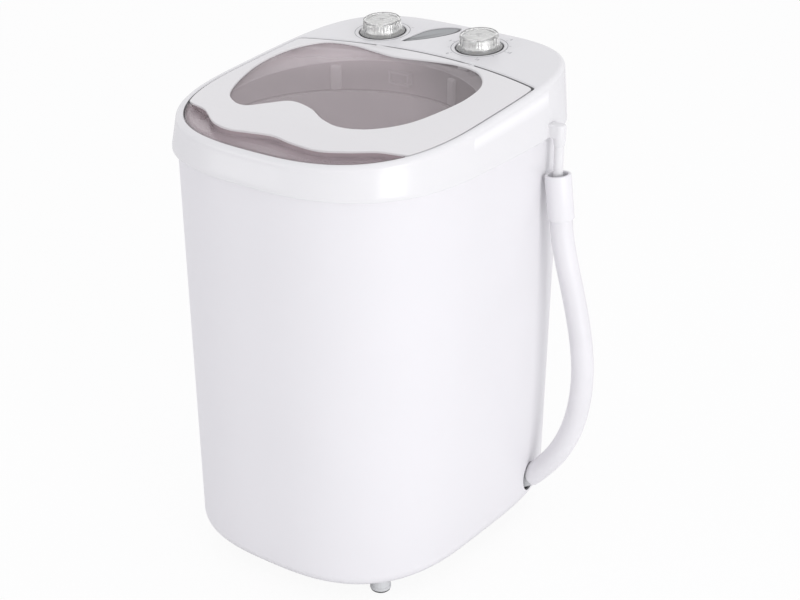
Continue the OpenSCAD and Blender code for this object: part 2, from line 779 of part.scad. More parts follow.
module drain_pipe() {
    socket_top = tub_floor_z + well_h - tub_wall - 1;
    elbow_r = pipe_r + 1;
    run_to = bend_at - [outlet_at[0], outlet_at[1], bend_at[2]];
    in_frame() color("whitesmoke") difference() {
        union() {
            translate([outlet_at[0], outlet_at[1], bend_at[2]]) {
                cylinder(r = pipe_r, h = socket_top - bend_at[2]);
                sphere(r = elbow_r);
                rotate([0, 90, atan2(run_to[1], run_to[0])])
                    cylinder(r = pipe_r, h = norm([run_to[0], run_to[1]]));
            }
            translate(bend_at) sphere(r = elbow_r);
            outlet_axis() cylinder(r = pipe_r, h = outlet_len);
        }
        translate([outlet_at[0], outlet_at[1], bend_at[2]]) cylinder(r = pipe_bore + fit, h = socket_top);
    }
}

// Drive

module pulsator() {
    rim = pulsator_r;
    base = tub_floor_z + 2;
    crown = 32;
    in_frame() color("gainsboro") translate([0, tub_y, base]) difference() {
        union() {
            rotate_extrude($fn = 96) polygon([
                [0, 0], [rim - 2, 0], [rim, 2], [rim - 1, 5], [rim - 8, 7], [rim * 0.5, 10],
                [22, 16], [17, crown - 4], [13, crown], [0, crown]
            ]);
            intersection() {
                rotate_extrude($fn = 96) polygon([
                    [0, 1], [rim - 5, 1], [rim - 7, 10], [rim * 0.6, 19], [20, crown - 3], [0, crown - 3]
                ]);
                linear_extrude(crown) for (i = [0 : vane_count - 1])
                    rotate(360 * i / vane_count) vane_outline();
            }
        }
        translate([0, 0, -eps]) cylinder(r = shaft_r + fit, h = shaft_top - base + eps);
        translate([0, 0, shaft_top - base - eps]) cylinder(r = 7, h = crown);
    }
}

// A swept vane, between two arcs
module vane_outline() {
    sweep_r = pulsator_r * 0.95;
    vane_t = 7;
    intersection() {
        difference() {
            translate([0, sweep_r]) circle(r = sweep_r);
            translate([0, sweep_r + vane_t]) circle(r = sweep_r);
        }
        translate([12, -eps]) square([pulsator_r, pulsator_r]);
    }
}

module pulsator_screw() {
    in_frame() color("silver") translate([0, tub_y, shaft_top]) {
        cylinder(r = 6.5, h = 3);
        translate([0, 0, -12]) cylinder(r = shaft_r / 2, h = 12 + eps);
    }
}

module pulsator_shaft() {
    in_frame() color("silver") translate([0, tub_y, shaft_bottom]) difference() {
        cylinder(r = shaft_r, h = shaft_top - shaft_bottom);
        translate([0, 0, shaft_top - shaft_bottom - 12]) cylinder(r = shaft_r / 2 + fit, h = 12 + eps);
    }
}

// A grooved wheel centred on the belt's height
module grooved_wheel(groove_r, bore_r) {
    half = pulley_h / 2;
    rotate_extrude($fn = 96) polygon([
        [bore_r, -half], [groove_r + rim_h, -half], [groove_r + rim_h, -half + 2], [groove_r, -groove_w / 2],
        [groove_r, groove_w / 2], [groove_r + rim_h, half - 2], [groove_r + rim_h, half], [bore_r, half]
    ]);
}

module shaft_pulley() {
    web_hole_r = 13;
    web_t = 4;
    hub_r = 2.5 * shaft_r;
    in_frame() color("darkgray") translate([0, tub_y, belt_z]) difference() {
        grooved_wheel(big_groove_r, shaft_r + fit);
        for (side = [-1, 1]) translate([0, 0, side * (web_t / 2 + pulley_h / 2)]) difference() {
            cylinder(r = big_groove_r - 5, h = pulley_h, center = true);
            cylinder(r = hub_r, h = pulley_h + eps, center = true);
        }
        for (i = [0 : 4]) rotate(72 * i) translate([(big_groove_r - 5 + hub_r) / 2, 0, -pulley_h])
            cylinder(r = web_hole_r, h = 2 * pulley_h);
    }
}

module pulley_nut() {
    in_frame() color("silver") translate([0, tub_y, shaft_bottom + 1]) difference() {
        cylinder(r = shaft_r * 1.7, h = belt_z - pulley_h / 2 - shaft_bottom - 1, $fn = 6);
        translate([0, 0, -eps]) cylinder(r = shaft_r + fit, h = pulley_h);
    }
}

module housing_screw_places() {
    round_tub(4, 4 * shaft_r, 45) children();
}

module bearing_housing() {
    sleeve_r = 2 * shaft_r + 1 - gap;
    sleeve_bottom = belt_z + pulley_h / 2 + 6;
    flange_t = 5;
    in_frame() color("darkgray") difference() {
        translate([0, tub_y, 0]) union() {
            translate([0, 0, sleeve_bottom]) cylinder(r = sleeve_r, h = tub_floor_z - sleeve_bottom);
            translate([0, 0, hub_z - flange_t]) cylinder(r = 5 * shaft_r, h = flange_t);
        }
        translate([0, tub_y, sleeve_bottom - eps]) cylinder(r = shaft_r + run, h = tub_h);
        translate([0, tub_y, tub_floor_z - 5]) cylinder(r = sleeve_r - 2, h = tub_h);
        housing_screw_places() translate([0, 0, hub_z - flange_t - eps])
            cylinder(r = screw_r + fit, h = flange_t + 2 * eps);
    }
}

module housing_screws() {
    in_frame() color("silver") housing_screw_places() {
        translate([0, 0, hub_z - 5 - head_h]) cylinder(r = head_r, h = head_h);
        translate([0, 0, hub_z - 5 - eps]) cylinder(r = screw_r, h = 5 + tub_wall - 1 + eps);
    }
}

module shaft_seal() {
    in_frame() color("dimgray") translate([0, tub_y, tub_floor_z - 5]) difference() {
        cylinder(r = 2 * shaft_r + 1 - gap - 2 - fit, h = 5);
        translate([0, 0, -eps]) cylinder(r = shaft_r + run, h = 6);
    }
}

// Two round ends joined by their outer tangents
module belt_outline(extra) {
    big = big_groove_r + gap + extra;
    small = small_groove_r + gap + extra;
    span = motor_back - tub_y;
    lean = asin((big - small) / span);
    side = [cos(lean), sin(lean)];
    flip = [-cos(lean), sin(lean)];
    translate([0, tub_y]) circle(r = big);
    translate([0, motor_back]) circle(r = small);
    polygon([
        [0, tub_y] + big * side, [0, motor_back] + small * side,
        [0, motor_back] + small * flip, [0, tub_y] + big * flip
    ]);
}

module drive_belt() {
    in_frame() color("dimgray") translate([0, 0, belt_z - belt_w / 2]) linear_extrude(belt_w) difference() {
        belt_outline(belt_t);
        belt_outline(0);
    }
}

module motor() {
    cap_h = 14;
    in_frame() color("silver") translate([0, motor_back, motor_base]) difference() {
        union() {
            cylinder(r1 = motor_r - 6, r2 = motor_r - 2, h = cap_h);
            translate([0, 0, cap_h - eps]) cylinder(r = motor_r, h = motor_h - 2 * cap_h + 2 * eps);
            translate([0, 0, motor_h - cap_h]) cylinder(r1 = motor_r - 2, r2 = motor_r - 6, h = cap_h);
            translate([0, 0, -motor_plate_t - 1]) cylinder(r = 2 * motor_stem_r, h = motor_plate_t + 1 + eps);
        }
        translate([0, 0, -motor_plate_t - 2]) cylinder(r = motor_stem_r + run, h = motor_h - 6);
        for (a = [0 : 30 : 330]) rotate(a) translate([motor_r - 14, 0, motor_h - cap_h])
            cylinder(r = 2.5, h = cap_h + eps);
        motor_screw_ring() translate([0, 0, -eps]) cylinder(r = screw_r + fit, h = 7);
    }
}

module motor_screw_ring() {
    for (a = [45 : 90 : 315]) rotate(a) translate([motor_r - 13, 0, 0]) children();
}

module motor_shaft() {
    low = belt_z - pulley_h / 2 - 2;
    in_frame() color("silver") translate([0, motor_back, low])
        cylinder(r = motor_stem_r, h = motor_base + motor_h - 12 - low);
}

module motor_pulley() {
    in_frame() color("darkgray") translate([0, motor_back, belt_z])
        grooved_wheel(small_groove_r, motor_stem_r + fit);
}

module motor_bracket() {
    plate_z = motor_base - motor_plate_t;
    edge = post_r + 2;
    in_frame() color("darkgray") difference() {
        union() {
            translate([-bracket_x - edge, bracket_front - edge, plate_z])
                cube([2 * (bracket_x + edge), bracket_rear - bracket_front + 2 * edge, motor_plate_t]);
            bracket_corners() translate([0, 0, base_top]) cylinder(r = post_r, h = plate_z - base_top + eps);
        }
        translate([0, motor_back, plate_z - eps]) {
            cylinder(r = 2 * motor_stem_r + fit, h = motor_plate_t + 2 * eps);
            motor_screw_ring() cylinder(r = screw_r + fit, h = motor_plate_t + 2 * eps);
        }
    }
}

module motor_screws() {
    plate_z = motor_base - motor_plate_t;
    in_frame() color("silver") translate([0, motor_back, plate_z]) motor_screw_ring() {
        translate([0, 0, -head_h]) cylinder(r = head_r, h = head_h);
        translate([0, 0, -eps]) cylinder(r = screw_r, h = motor_plate_t + 6);
    }
}

module capacitor() {
    in_frame() color("silver") translate([capacitor_at[0], capacitor_at[1], base_top]) {
        cylinder(r = capacitor_r, h = capacitor_h - 2);
        cylinder(r = capacitor_r - 2, h = capacitor_h);
        for (side = [-1, 1]) translate([side * 6, -3, capacitor_h - eps]) cube([1, 6, 9]);
    }
}

module capacitor_clip() {
    clip_t = 1.5;
    clip_w = 14;
    in_frame() color("darkgray") translate([capacitor_at[0], capacitor_at[1], base_top]) {
        translate([0, 0, capacitor_h / 3]) difference() {
            cylinder(r = capacitor_r + fit + clip_t, h = clip_w);
            translate([0, 0, -eps]) cylinder(r = capacitor_r + fit, h = clip_w + 2 * eps);
        }
        translate([capacitor_r + clip_t / 2, -clip_w / 2, 0]) cube([clip_t, clip_w, capacitor_h / 3 + clip_w]);
        translate([capacitor_r + clip_t / 2, -clip_w / 2, 0]) cube([clip_w, clip_w, clip_t]);
    }
}

// Controls

// A rotary switch under the deck, with a threaded bush through it
module switch_unit(p) {
    on_deck(p) difference() {
        union() {
            translate([-switch_w / 2, -switch_w / 2, -pad_depth - switch_h])
                cube([switch_w, switch_w, switch_h]);
            translate([0, 0, -pad_depth - eps]) cylinder(r = bush_r, h = pad_depth - dial_depth + bush_h + eps);
        }
        translate([0, 0, -pad_depth - switch_h / 2]) cylinder(r = stem_r + run, h = switch_h);
        for (side = [-1, 1]) translate([side * switch_w / 2 - 3, -switch_w, -pad_depth - switch_h - eps])
            cube([6, 2 * switch_w, 5]);
    }
}

module switch_stem(p) {
    low = -pad_depth - switch_h / 2 + 0.5;
    on_deck(p, low) cylinder(r = stem_r, h = knob_h - 5 - low);
}

// A clear cap: flared skirt, fluted drum and a soft top edge
module knob_cap(p) {
    low = -dial_depth + 0.6;
    shell = 2;
    drum_r = knob_r - 3.5;
    on_deck(p) difference() {
        rotate_extrude() polygon([
            [0, knob_h], [drum_r - 3, knob_h], [drum_r - 0.8, knob_h - 1], [drum_r, knob_h - 3],
            [drum_r + 0.6, 5], [drum_r + 1.6, 2.5], [knob_r, 0.5], [knob_r, low],
            [knob_r - shell, low], [knob_r - shell, 0], [drum_r - shell + 1, 4],
            [drum_r - shell, knob_h - 4], [drum_r - shell - 1, knob_h - 3], [0, knob_h - 3]
        ]);
        for (i = [0 : flute_count - 1]) rotate(360 * i / flute_count) translate([drum_r + 2.6, 0, 3.5])
            cylinder(r = 3.2, h = knob_h);
    }
}

module knob_core(p) {
    low = -dial_depth + 3.1;
    on_deck(p) difference() {
        rotate_extrude() polygon([
            [0, low], [core_r, low], [core_r, low + 2], [core_r - 2, low + 3],
            [core_r - 3, knob_h - 3], [0, knob_h - 3]
        ]);
        translate([0, 0, -dial_depth]) cylinder(r = stem_r + fit, h = knob_h - 5 + dial_depth);
    }
}

module timer() { in_frame() color("whitesmoke") switch_unit(timer_at); }
module timer_shaft() { in_frame() color("silver") switch_stem(timer_at); }
module timer_knob() { in_frame() color([0.85, 0.87, 0.88, 0.6]) knob_cap(timer_at); }
module timer_knob_core() { in_frame() color("gainsboro") knob_core(timer_at); }
module mode_switch() { in_frame() color("whitesmoke") switch_unit(mode_at); }
module mode_shaft() { in_frame() color("silver") switch_stem(mode_at); }
module mode_knob() { in_frame() color([0.85, 0.87, 0.88, 0.6]) knob_cap(mode_at); }
module mode_knob_core() { in_frame() color("gainsboro") knob_core(mode_at); }

module switch_nuts() {
    nut_t = 2.2;
    in_frame() color("silver") for (p = [timer_at, mode_at]) on_deck(p, -dial_depth) difference() {
        cylinder(r = 1.6 * bush_r, h = nut_t, $fn = 6);
        translate([0, 0, -eps]) cylinder(r = bush_r + fit, h = nut_t + 2 * eps);
    }
}

// Water inlet

// The insert leaves a narrow mouth open along its lower edge
module inlet_cover() {
    leaf = smooth_loop(leaf_points, 4);
    in_frame() color("gray") intersection() {
        deck_slab(grow(leaf, -gap), -dial_depth - eps, -1);
        on_deck([-inlet_mouth, inlet_mouth / 2], -pad_depth) linear_extrude(2 * pad_depth) polygon(leaf);
    }
}

module inlet_chute() {
    mouth_front = body_d / 2 - 60;
    mouth_rear = body_d / 2 - 26;
    spout_y = tub_y + throat_r - 8;
    spout_len = 18;
    low = slot_z;
    high = slot_z + slot_h;
    roof = top_z - pad_depth - 0.2;
    function mouth_z(y) = roof + y * tan(top_tilt);
    in_frame() color("whitesmoke") translate([chute_x + chute_w / 2, 0, 0]) rotate([0, -90, 0]) difference() {
        linear_extrude(chute_w) polygon([
            [low, spout_y], [low, spout_y + spout_len], [low + 20, mouth_rear],
            [mouth_z(mouth_rear), mouth_rear], [mouth_z(mouth_front), mouth_front],
            [high + 6, mouth_front - 16], [high, spout_y + spout_len], [high, spout_y]
        ]);
        translate([0, 0, chute_wall]) linear_extrude(chute_w - 2 * chute_wall) polygon([
            [low + chute_wall, spout_y - eps], [low + chute_wall, spout_y + spout_len],
            [low + 20 + chute_wall, mouth_rear - chute_wall],
            [mouth_z(mouth_rear) + eps, mouth_rear - chute_wall],
            [mouth_z(mouth_front) + eps, mouth_front + chute_wall], [high + 6 - chute_wall, mouth_front - 14],
            [high - chute_wall, spout_y + spout_len], [high - chute_wall, spout_y - eps]
        ]);
    }
}

// Hose

module hose_peg() {
    low = seam_z + peg_depth - peg_len;
    in_frame() color("white") translate([peg_x, hose_y, low]) {
        cylinder(r1 = peg_d / 2 - 1.5, r2 = peg_d / 2, h = 4);
        translate([0, 0, 4]) cylinder(r = peg_d / 2, h = peg_len - 4);
    }
}

// A round tube along the hose's route, whose first ring is square to the outlet
module drain_hose() {
    n = len(hose_route);
    function heading(i) =
        let (d = hose_route[min(i + 1, n - 1)] - hose_route[max(i - 1, 0)])
        i == 0 ? [cos(outlet_tilt), sin(outlet_tilt)]
            : i == n - 1 ? [-sin(cuff_tilt), cos(cuff_tilt)]
            : d / norm(d);
    function ring(i) =
        let (h = heading(i), c = hose_route[i], r = hose_d / 2)
        [for (j = [0 : hose_sides - 1]) let (a = 360 * j / hose_sides)
            [c[0] + r * cos(a) * h[1], hose_y + r * sin(a), c[1] - r * cos(a) * h[0]]];
    rings = [for (i = [0 : n - 1]) ring(i)];
    in_frame() color("whitesmoke") polyhedron(
        points = [for (r = rings, p = r) p],
        faces = concat(
            [[for (j = [0 : hose_sides - 1]) j]],
            [for (i = [0 : n - 2], j = [0 : hose_sides - 1], half = [0, 1])
                let (a = i * hose_sides + j, b = i * hose_sides + (j + 1) % hose_sides,
                     c = b + hose_sides, d = a + hose_sides)
                half == 0 ? [a, c, b] : [a, d, c]],
            [[for (j = [hose_sides - 1 : -1 : 0]) (n - 1) * hose_sides + j]]
        )
    );
}

module hose_cuff() {
    in_frame() color("white") cuff_axis() difference() {
        cylinder(r = cuff_d / 2, h = cuff_len);
        translate([0, 0, 4]) cylinder(r = cuff_d / 2 - 3.5, h = cuff_len);
    }
}

body_shell();
base_plate();
base_screws();
feet();
foot_pads();
foot_nuts();
cord_gland();
collar();
lid_bumpers();
hinge_pins();
lid_frame();
lid_panel();
wash_tub();
tub_gasket();
tub_screws();
drain_strainer();
drain_pipe();
pulsator();
pulsator_screw();
pulsator_shaft();
shaft_pulley();
pulley_nut();
bearing_housing();
housing_screws();
shaft_seal();
drive_belt();
motor();
motor_shaft();
motor_pulley();
motor_bracket();
motor_screws();
capacitor();
capacitor_clip();
timer();
timer_shaft();
timer_knob();
timer_knob_core();
mode_switch();
mode_shaft();
mode_knob();
mode_knob_core();
switch_nuts();
inlet_cover();
inlet_chute();
hose_peg();
drain_hose();
hose_cuff();
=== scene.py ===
import json
import math

import bmesh
import bpy
from mathutils import Matrix, Vector
from mathutils.geometry import tessellate_polygon


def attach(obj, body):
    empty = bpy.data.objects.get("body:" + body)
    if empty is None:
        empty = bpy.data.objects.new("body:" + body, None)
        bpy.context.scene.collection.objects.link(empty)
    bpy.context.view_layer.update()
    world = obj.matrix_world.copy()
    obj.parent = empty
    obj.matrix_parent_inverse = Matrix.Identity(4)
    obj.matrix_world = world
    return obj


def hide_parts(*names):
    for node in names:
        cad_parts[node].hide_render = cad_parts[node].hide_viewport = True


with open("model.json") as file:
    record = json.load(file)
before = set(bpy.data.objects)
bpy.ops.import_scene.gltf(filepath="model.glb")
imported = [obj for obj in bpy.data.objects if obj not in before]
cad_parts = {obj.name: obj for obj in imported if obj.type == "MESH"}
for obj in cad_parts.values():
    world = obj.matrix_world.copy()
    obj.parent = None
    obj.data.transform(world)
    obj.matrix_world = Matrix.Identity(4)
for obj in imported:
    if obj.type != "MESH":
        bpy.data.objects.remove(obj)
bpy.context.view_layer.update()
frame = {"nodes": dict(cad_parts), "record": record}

MM = 0.001
nodes = frame["nodes"]

# Sizes of the machine, in millimetres, as in its drawing
BODY_W, BODY_D = 328.0, 392.0
# The casing's middle lies this far to the left of the part's origin
FRAME_X = 6.25
WIDEST_FRONT = 22.0
FRONT_POWER, BACK_POWER = 2.75, 4.0
WALL = 3.0
FLOOR_GAP, BOTTOM_R = 18.0, 15.0
LIP_STEP, BODY_DRAFT = 5.0, 7.0
SEAM_Z, COLLAR_H = 451.0, 48.5
TOP_Z = SEAM_Z + COLLAR_H
TILT = math.radians(5)
LIP_H, COLLAR_DRAFT, RIM_R = 5.0, 3.5, 6.0
RECESS_DEPTH, RECESS_INSET = 12.0, 11.0
LID_REAR, REAR_SAG, REAR_GAP, SIDE_GAP = 100.3, 27.0, 3.6, 1.5
REAR_HALF = BODY_W / 2 - 14
SKIN_T, LID_H, PANEL_T, LID_EDGE_T = 2.5, 10.0, 2.5, 2.5
LID_INSET = RECESS_INSET + SIDE_GAP
EDGE_R = 1.3
HINGE_Y, HINGE_H = LID_REAR - 3.8, -2.8
KNUCKLE_X, KNUCKLE_W, CHEEK_X, CHEEK_W, BARREL_R = 52.0, 12.0, 60.55, 4.5, 2.6
TUB_R, TUB_Y = 131.0, -40.0
THROAT_R, SEAT_R = TUB_R + 5, TUB_R + 13
SEAT_Z = SEAM_Z + 11
DIAL_DEPTH, KNOB_R, KNOB_H = 3.0, 24.5, 14.9
DIAL_R = KNOB_R + 1.5
TIMER_AT, MODE_AT = (38.0, 144.0), (-82.0, 133.0)
OUTLET_TILT, OUTLET_LEN = math.radians(34), 23.9
BEND_AT = (132.3, 95.0, 38.0)
HOSE_D, CUFF_D, CUFF_LEN, CUFF_WALL = 24.0, 28.0, 48.0, 3.5
# The hose keeps this far inside its drawn surface
HOSE_EASE = 0.03
CUFF_TILT = math.radians(7.2)
PEG_X, LUG_R, LUG_H = 170.0, 6.5, 15.0
RIB_COUNT, RIB_START = 6, 12.0
FOOT_X, FOOT_FRONT, FOOT_REAR = 104.0, -122.0, 125.0
FOOT_R, PAD_H, SOLE_H = 11.0, 6.0, 2.0
# Points round the casing, and round the window of the lid
AROUND, WINDOW_AROUND = 480, 420

# Outlines on the deck, as points across it and up its slope from the casing's middle
WINDOW = [
    (-115, -82), (-94, -99), (-77, -101), (-63, -87), (-44, -70), (-15, -75), (13, -91), (40, -98),
    (68, -88), (91, -60), (102, -20), (106, 20), (99, 57), (77, 83), (47, 91.5), (14, 87.5), (-25, 79.5),
    (-57, 82.5), (-90, 86), (-121, 76.5), (-139, 44), (-142, 0), (-132, -44),
]
WAVE = [
    (-140, -122), (-129, -124), (-107, -130), (-79, -149), (-55, -155), (-33, -151), (-6, -146),
    (22, -151), (54, -152), (80, -141), (106, -126), (129, -121), (142, -118),
]
LEAF = [(-45, 119), (-24, 139), (-9, 164), (-10, 180), (-26, 176), (-40, 160), (-45, 138)]
# The hose's middle line, across and up from the floor
HOSE_ROUTE = [
    (BEND_AT[0] + OUTLET_LEN * math.cos(OUTLET_TILT), BEND_AT[2] + OUTLET_LEN * math.sin(OUTLET_TILT)),
    (163, 63.5), (173, 75.5), (182, 88), (190, 102), (197, 117.5), (202.5, 134),
    (206.5, 151.5), (209, 169.5), (210, 187.5), (209.5, 205.5), (207.5, 223.5), (204.5, 241.5),
    (200.5, 259.5), (196, 277.5), (191, 295.5), (186, 313), (181.5, 330.5), (178, 347.5), (175.8, 365),
]


# Outlines in the plan, in millimetres

def bulge(c, power):
    return math.copysign(abs(c) ** (2 / power), c)


def plan_point(t, inset):
    rear = math.sin(t) >= 0
    power = BACK_POWER if rear else FRONT_POWER
    reach = BODY_D / 2 + (WIDEST_FRONT if rear else -WIDEST_FRONT) - inset
    side = BODY_W / 2 - inset
    return (side * bulge(math.cos(t), power), reach * bulge(math.sin(t), power) - WIDEST_FRONT)


def even_turns(count):
    """Angles at which the plan's points lie evenly along its edge."""
    fine = [2 * math.pi * i / 9600 for i in range(9601)]
    spots = [plan_point(t, 0) for t in fine]
    run = [0.0]
    for a, b in zip(spots, spots[1:]):
        run.append(run[-1] + math.dist(a, b))
    turns, k = [], 0
    for i in range(count):
        want = run[-1] * i / count
        while run[k + 1] < want:
            k += 1
        span = run[k + 1] - run[k]
        turns.append(fine[k] + (fine[k + 1] - fine[k]) * ((want - run[k]) / span if span else 0))
    return turns


TURNS = even_turns(AROUND)


def plan(inset):
    return [plan_point(t, inset) for t in TURNS]


def clip_rear(p, rear):
    dx, dy = p[0], p[1] + WIDEST_FRONT
    k = REAR_SAG * (dx / REAR_HALF) ** 2
    reach = rear + WIDEST_FRONT
    if dy <= 0:
        share = 1.0
    elif k < 0.001:
        share = reach / dy
    else:
        share = (math.sqrt(dy * dy + 4 * k * reach) - dy) / (2 * k)
    share = min(1.0, share)
    return (dx * share, dy * share - WIDEST_FRONT)


def softened(points, passes=2):
    """Corners of a closed outline eased a little, the rest left as it is."""
    for _ in range(passes):
        before, after = points[-1:] + points[:-1], points[1:] + points[:1]
        points = [tuple(0.25 * a + 0.5 * b + 0.25 * c for a, b, c in zip(*three))
                  for three in zip(before, points, after)]
    return points


def lid_plan(inset, rear):
    """The casing's plan cut off at the back by the lid's sagging rear line."""
    return softened([clip_rear(p, rear) for p in plan(inset)])


def round_plan(points, r):
    """The points drawn in to a circle round the tub's middle."""
    out = []
    for x, y in points:
        d = math.hypot(x, y - TUB_Y)
        out.append((r * x / d, TUB_Y + r * (y - TUB_Y) / d))
    return out


def spline(a, b, c, d, t):
    return tuple(
        0.5 * (2 * q + (r - p) * t + (2 * p - 5 * q + 4 * r - s) * t * t + (3 * q - p - 3 * r + s) * t ** 3)
        for p, q, r, s in zip(a, b, c, d)
    )


def smooth_loop(p, steps):
    n = len(p)
    return [spline(p[i - 1], p[i], p[(i + 1) % n], p[(i + 2) % n], j / steps)
            for i in range(n) for j in range(steps)]


def smooth_line(p, steps):
    """A curve from the second point to the last but one."""
    out = [spline(*p[i - 1:i + 3], j / steps) for i in range(1, len(p) - 2) for j in range(steps)]
    return out + [p[-2]]


def grow(p, d):
    """A closed outline moved outwards by d."""
    n = len(p)
    out = []
    for i in range(n):
        tx, ty = p[(i + 1) % n][0] - p[i - 1][0], p[(i + 1) % n][1] - p[i - 1][1]
        s = math.hypot(tx, ty)
        out.append((p[i][0] + d * ty / s, p[i][1] - d * tx / s))
    return out


def away(point, line):
    """How far a point lies from the nearest point of a line."""
    return min(math.dist(point, p) for p in line)


def ramp(value, start, length):
    """0 up to the start, 1 past the length, and even in between."""
    return min(1.0, max(0.0, (value - start) / length))


# Places in space, in millimetres

def level(points, z):
    return [(x, y, z) for x, y in points]


def deck_point(x, v, w):
    """A point on the sloping deck's axes: x to the right, v up the slope, w out of the deck."""
    return (x, v * math.cos(TILT) - w * math.sin(TILT), TOP_Z + v * math.sin(TILT) + w * math.cos(TILT))


def on_deck(points, w):
    return [deck_point(x, v, w) for x, v in points]


def moved(x, y, z):
    return Matrix.Translation(Vector((x, y, z)) * MM)


def deck_matrix(x, v, w=0.0):
    return moved(*deck_point(x, v, w)) @ Matrix.Rotation(TILT, 4, "X")


def tipped_from(place, angle):
    """A place whose upright axis leans to the right by an angle."""
    return moved(*place) @ Matrix.Rotation(angle, 4, "Y")


# Making meshes

def piece_from(name, points, faces, smooth_angle):
    mesh = bpy.data.meshes.new(name)
    mesh.from_pydata([Vector(p) * MM for p in points], [], faces)
    mesh.validate()
    bm = bmesh.new()
    bm.from_mesh(mesh)
    bmesh.ops.remove_doubles(bm, verts=bm.verts, dist=1e-6)
    bmesh.ops.recalc_face_normals(bm, faces=bm.faces)
    bm.to_mesh(mesh)
    bm.free()
    shade(mesh, smooth_angle)
    piece = bpy.data.objects.new(name, mesh)
    bpy.context.scene.collection.objects.link(piece)
    return piece


def shade(mesh, smooth_angle=40.0):
    mesh.shade_smooth()
    mesh.set_sharp_from_angle(angle=math.radians(smooth_angle))


def loft_faces(rows, n, wrap_rows=False, start=0):
    faces = []
    for i in range(rows if wrap_rows else rows - 1):
        for j in range(n):
            a, b = start + i * n + j, start + i * n + (j + 1) % n
            c, d = start + ((i + 1) % rows) * n + (j + 1) % n, start + ((i + 1) % rows) * n + j
            faces.append((a, b, c, d))
    return faces


def band(name, rings, smooth_angle=40.0):
    """A closed shell: each ring joined to the next, and the last to the first."""
    n = len(rings[0])
    return piece_from(name, [p for r in rings for p in r], loft_faces(len(rings), n, True), smooth_angle)


def stack(name, rings, smooth_angle=40.0):
    """A solid of stacked rings with its ends closed."""
    n, m = len(rings[0]), len(rings)
    faces = loft_faces(m, n) + [tuple(range(n)), tuple((m - 1) * n + j for j in range(n))]
    return piece_from(name, [p for r in rings for p in r], faces, smooth_angle)


def turned(name, profile, around, matrix=Matrix.Identity(4), smooth_angle=35.0, radius=None):
    """A shape turned about an axis. A profile that begins and ends on the axis is closed there;
    any other is a ring. The radius may vary with the angle."""
    solid = profile[0][0] == 0 and profile[-1][0] == 0
    rings = []
    for r, z in profile[1:-1] if solid else profile:
        ring = []
        for i in range(around):
            a = 2 * math.pi * i / around
            rr = radius(r, z, a) if radius else r
            ring.append((rr * math.cos(a), rr * math.sin(a), z))
        rings.append(ring)
    piece = (stack if solid else band)(name, rings, smooth_angle)
    piece.data.transform(matrix)
    return piece


def arc(cx, cz, r, start, end, steps):
    """Points of a profile along an arc, angles in degrees."""
    out = []
    for i in range(steps + 1):
        a = math.radians(start + (end - start) * i / steps)
        out.append((cx + r * math.cos(a), cz + r * math.sin(a)))
    return out


def settled(piece):
    """The piece's modifiers made real, so that a plain mesh is left."""
    bpy.context.view_layer.update()
    whole = piece.evaluated_get(bpy.context.evaluated_depsgraph_get())
    mesh = bpy.data.meshes.new_from_object(whole)
    name = piece.name
    piece.modifiers.clear()
    if piece.type == "MESH":
        old = piece.data
        piece.data = mesh
        bpy.data.meshes.remove(old)
        return piece
    bpy.data.objects.remove(piece)
    fresh = bpy.data.objects.new(name, mesh)
    bpy.context.scene.collection.objects.link(fresh)
    return fresh


def wired(tree, kind, output, inputs=(), **settings):
    """An output of a new node. Each input is given as a value, or as the output that feeds it."""
    node = tree.nodes.new(kind)
    for key, value in settings.items():
        setattr(node, key, value)
    for key, value in dict(inputs).items():
        if isinstance(value, bpy.types.NodeSocket):
            tree.links.new(value, node.inputs[key])
        else:
            node.inputs[key].default_value = value
    return node.outputs[output]


def ring_tree():
    """A node tree that sets copies of one form round an axis, each turned to its place."""
    tree = bpy.data.node_groups.new("ring_of_forms", "GeometryNodeTree")
    keys = {}
    for name, kind in (("Geometry", "Geometry"), ("Form", "Object"), ("Count", "Int"), ("Radius", "Float"),
                       ("Start", "Float"), ("Step", "Float"), ("Rise", "Float"), ("Finish", "Material")):
        socket = tree.interface.new_socket(name=name, in_out="INPUT", socket_type=f"NodeSocket{kind}")
        keys[name] = socket.identifier
    tree.interface.new_socket(name="Geometry", in_out="OUTPUT", socket_type="NodeSocketGeometry")
    given, result = tree.nodes.new("NodeGroupInput").outputs, tree.nodes.new("NodeGroupOutput")

    index = wired(tree, "GeometryNodeInputIndex", "Index")
    turn = wired(tree, "ShaderNodeMath", "Value", {0: index, 1: given["Step"], 2: given["Start"]},
                 operation="MULTIPLY_ADD")
    reach = wired(tree, "ShaderNodeCombineXYZ", "Vector", {"X": given["Radius"]})
    place = wired(tree, "ShaderNodeVectorRotate", "Vector", {"Vector": reach, "Angle": turn},
                  rotation_type="Z_AXIS")
    points = wired(tree, "GeometryNodePoints", "Points", {"Count": given["Count"], "Position": place})

    around = wired(tree, "ShaderNodeCombineXYZ", "Vector", {"Z": turn})
    facing = wired(tree, "FunctionNodeEulerToRotation", "Rotation", {"Euler": around})
    wave = wired(tree, "ShaderNodeMath", "Value", {0: turn}, operation="SINE")
    taller = wired(tree, "ShaderNodeMath", "Value", {0: wave, 1: given["Rise"], 2: 1.0},
                   operation="MULTIPLY_ADD")
    size = wired(tree, "ShaderNodeCombineXYZ", "Vector", {"X": 1.0, "Y": 1.0, "Z": taller})

    form = wired(tree, "GeometryNodeObjectInfo", "Geometry", {"Object": given["Form"]})
    copies = wired(tree, "GeometryNodeInstanceOnPoints", "Instances",
                   {"Points": points, "Instance": form, "Rotation": facing, "Scale": size})
    real = wired(tree, "GeometryNodeRealizeInstances", "Geometry", {"Geometry": copies})
    finish = wired(tree, "GeometryNodeSetMaterial", "Geometry",
                   {"Geometry": real, "Material": given["Finish"]})
    tree.links.new(finish, result.inputs["Geometry"])
    return tree, keys


RING_TREE, RING_KEYS = ring_tree()


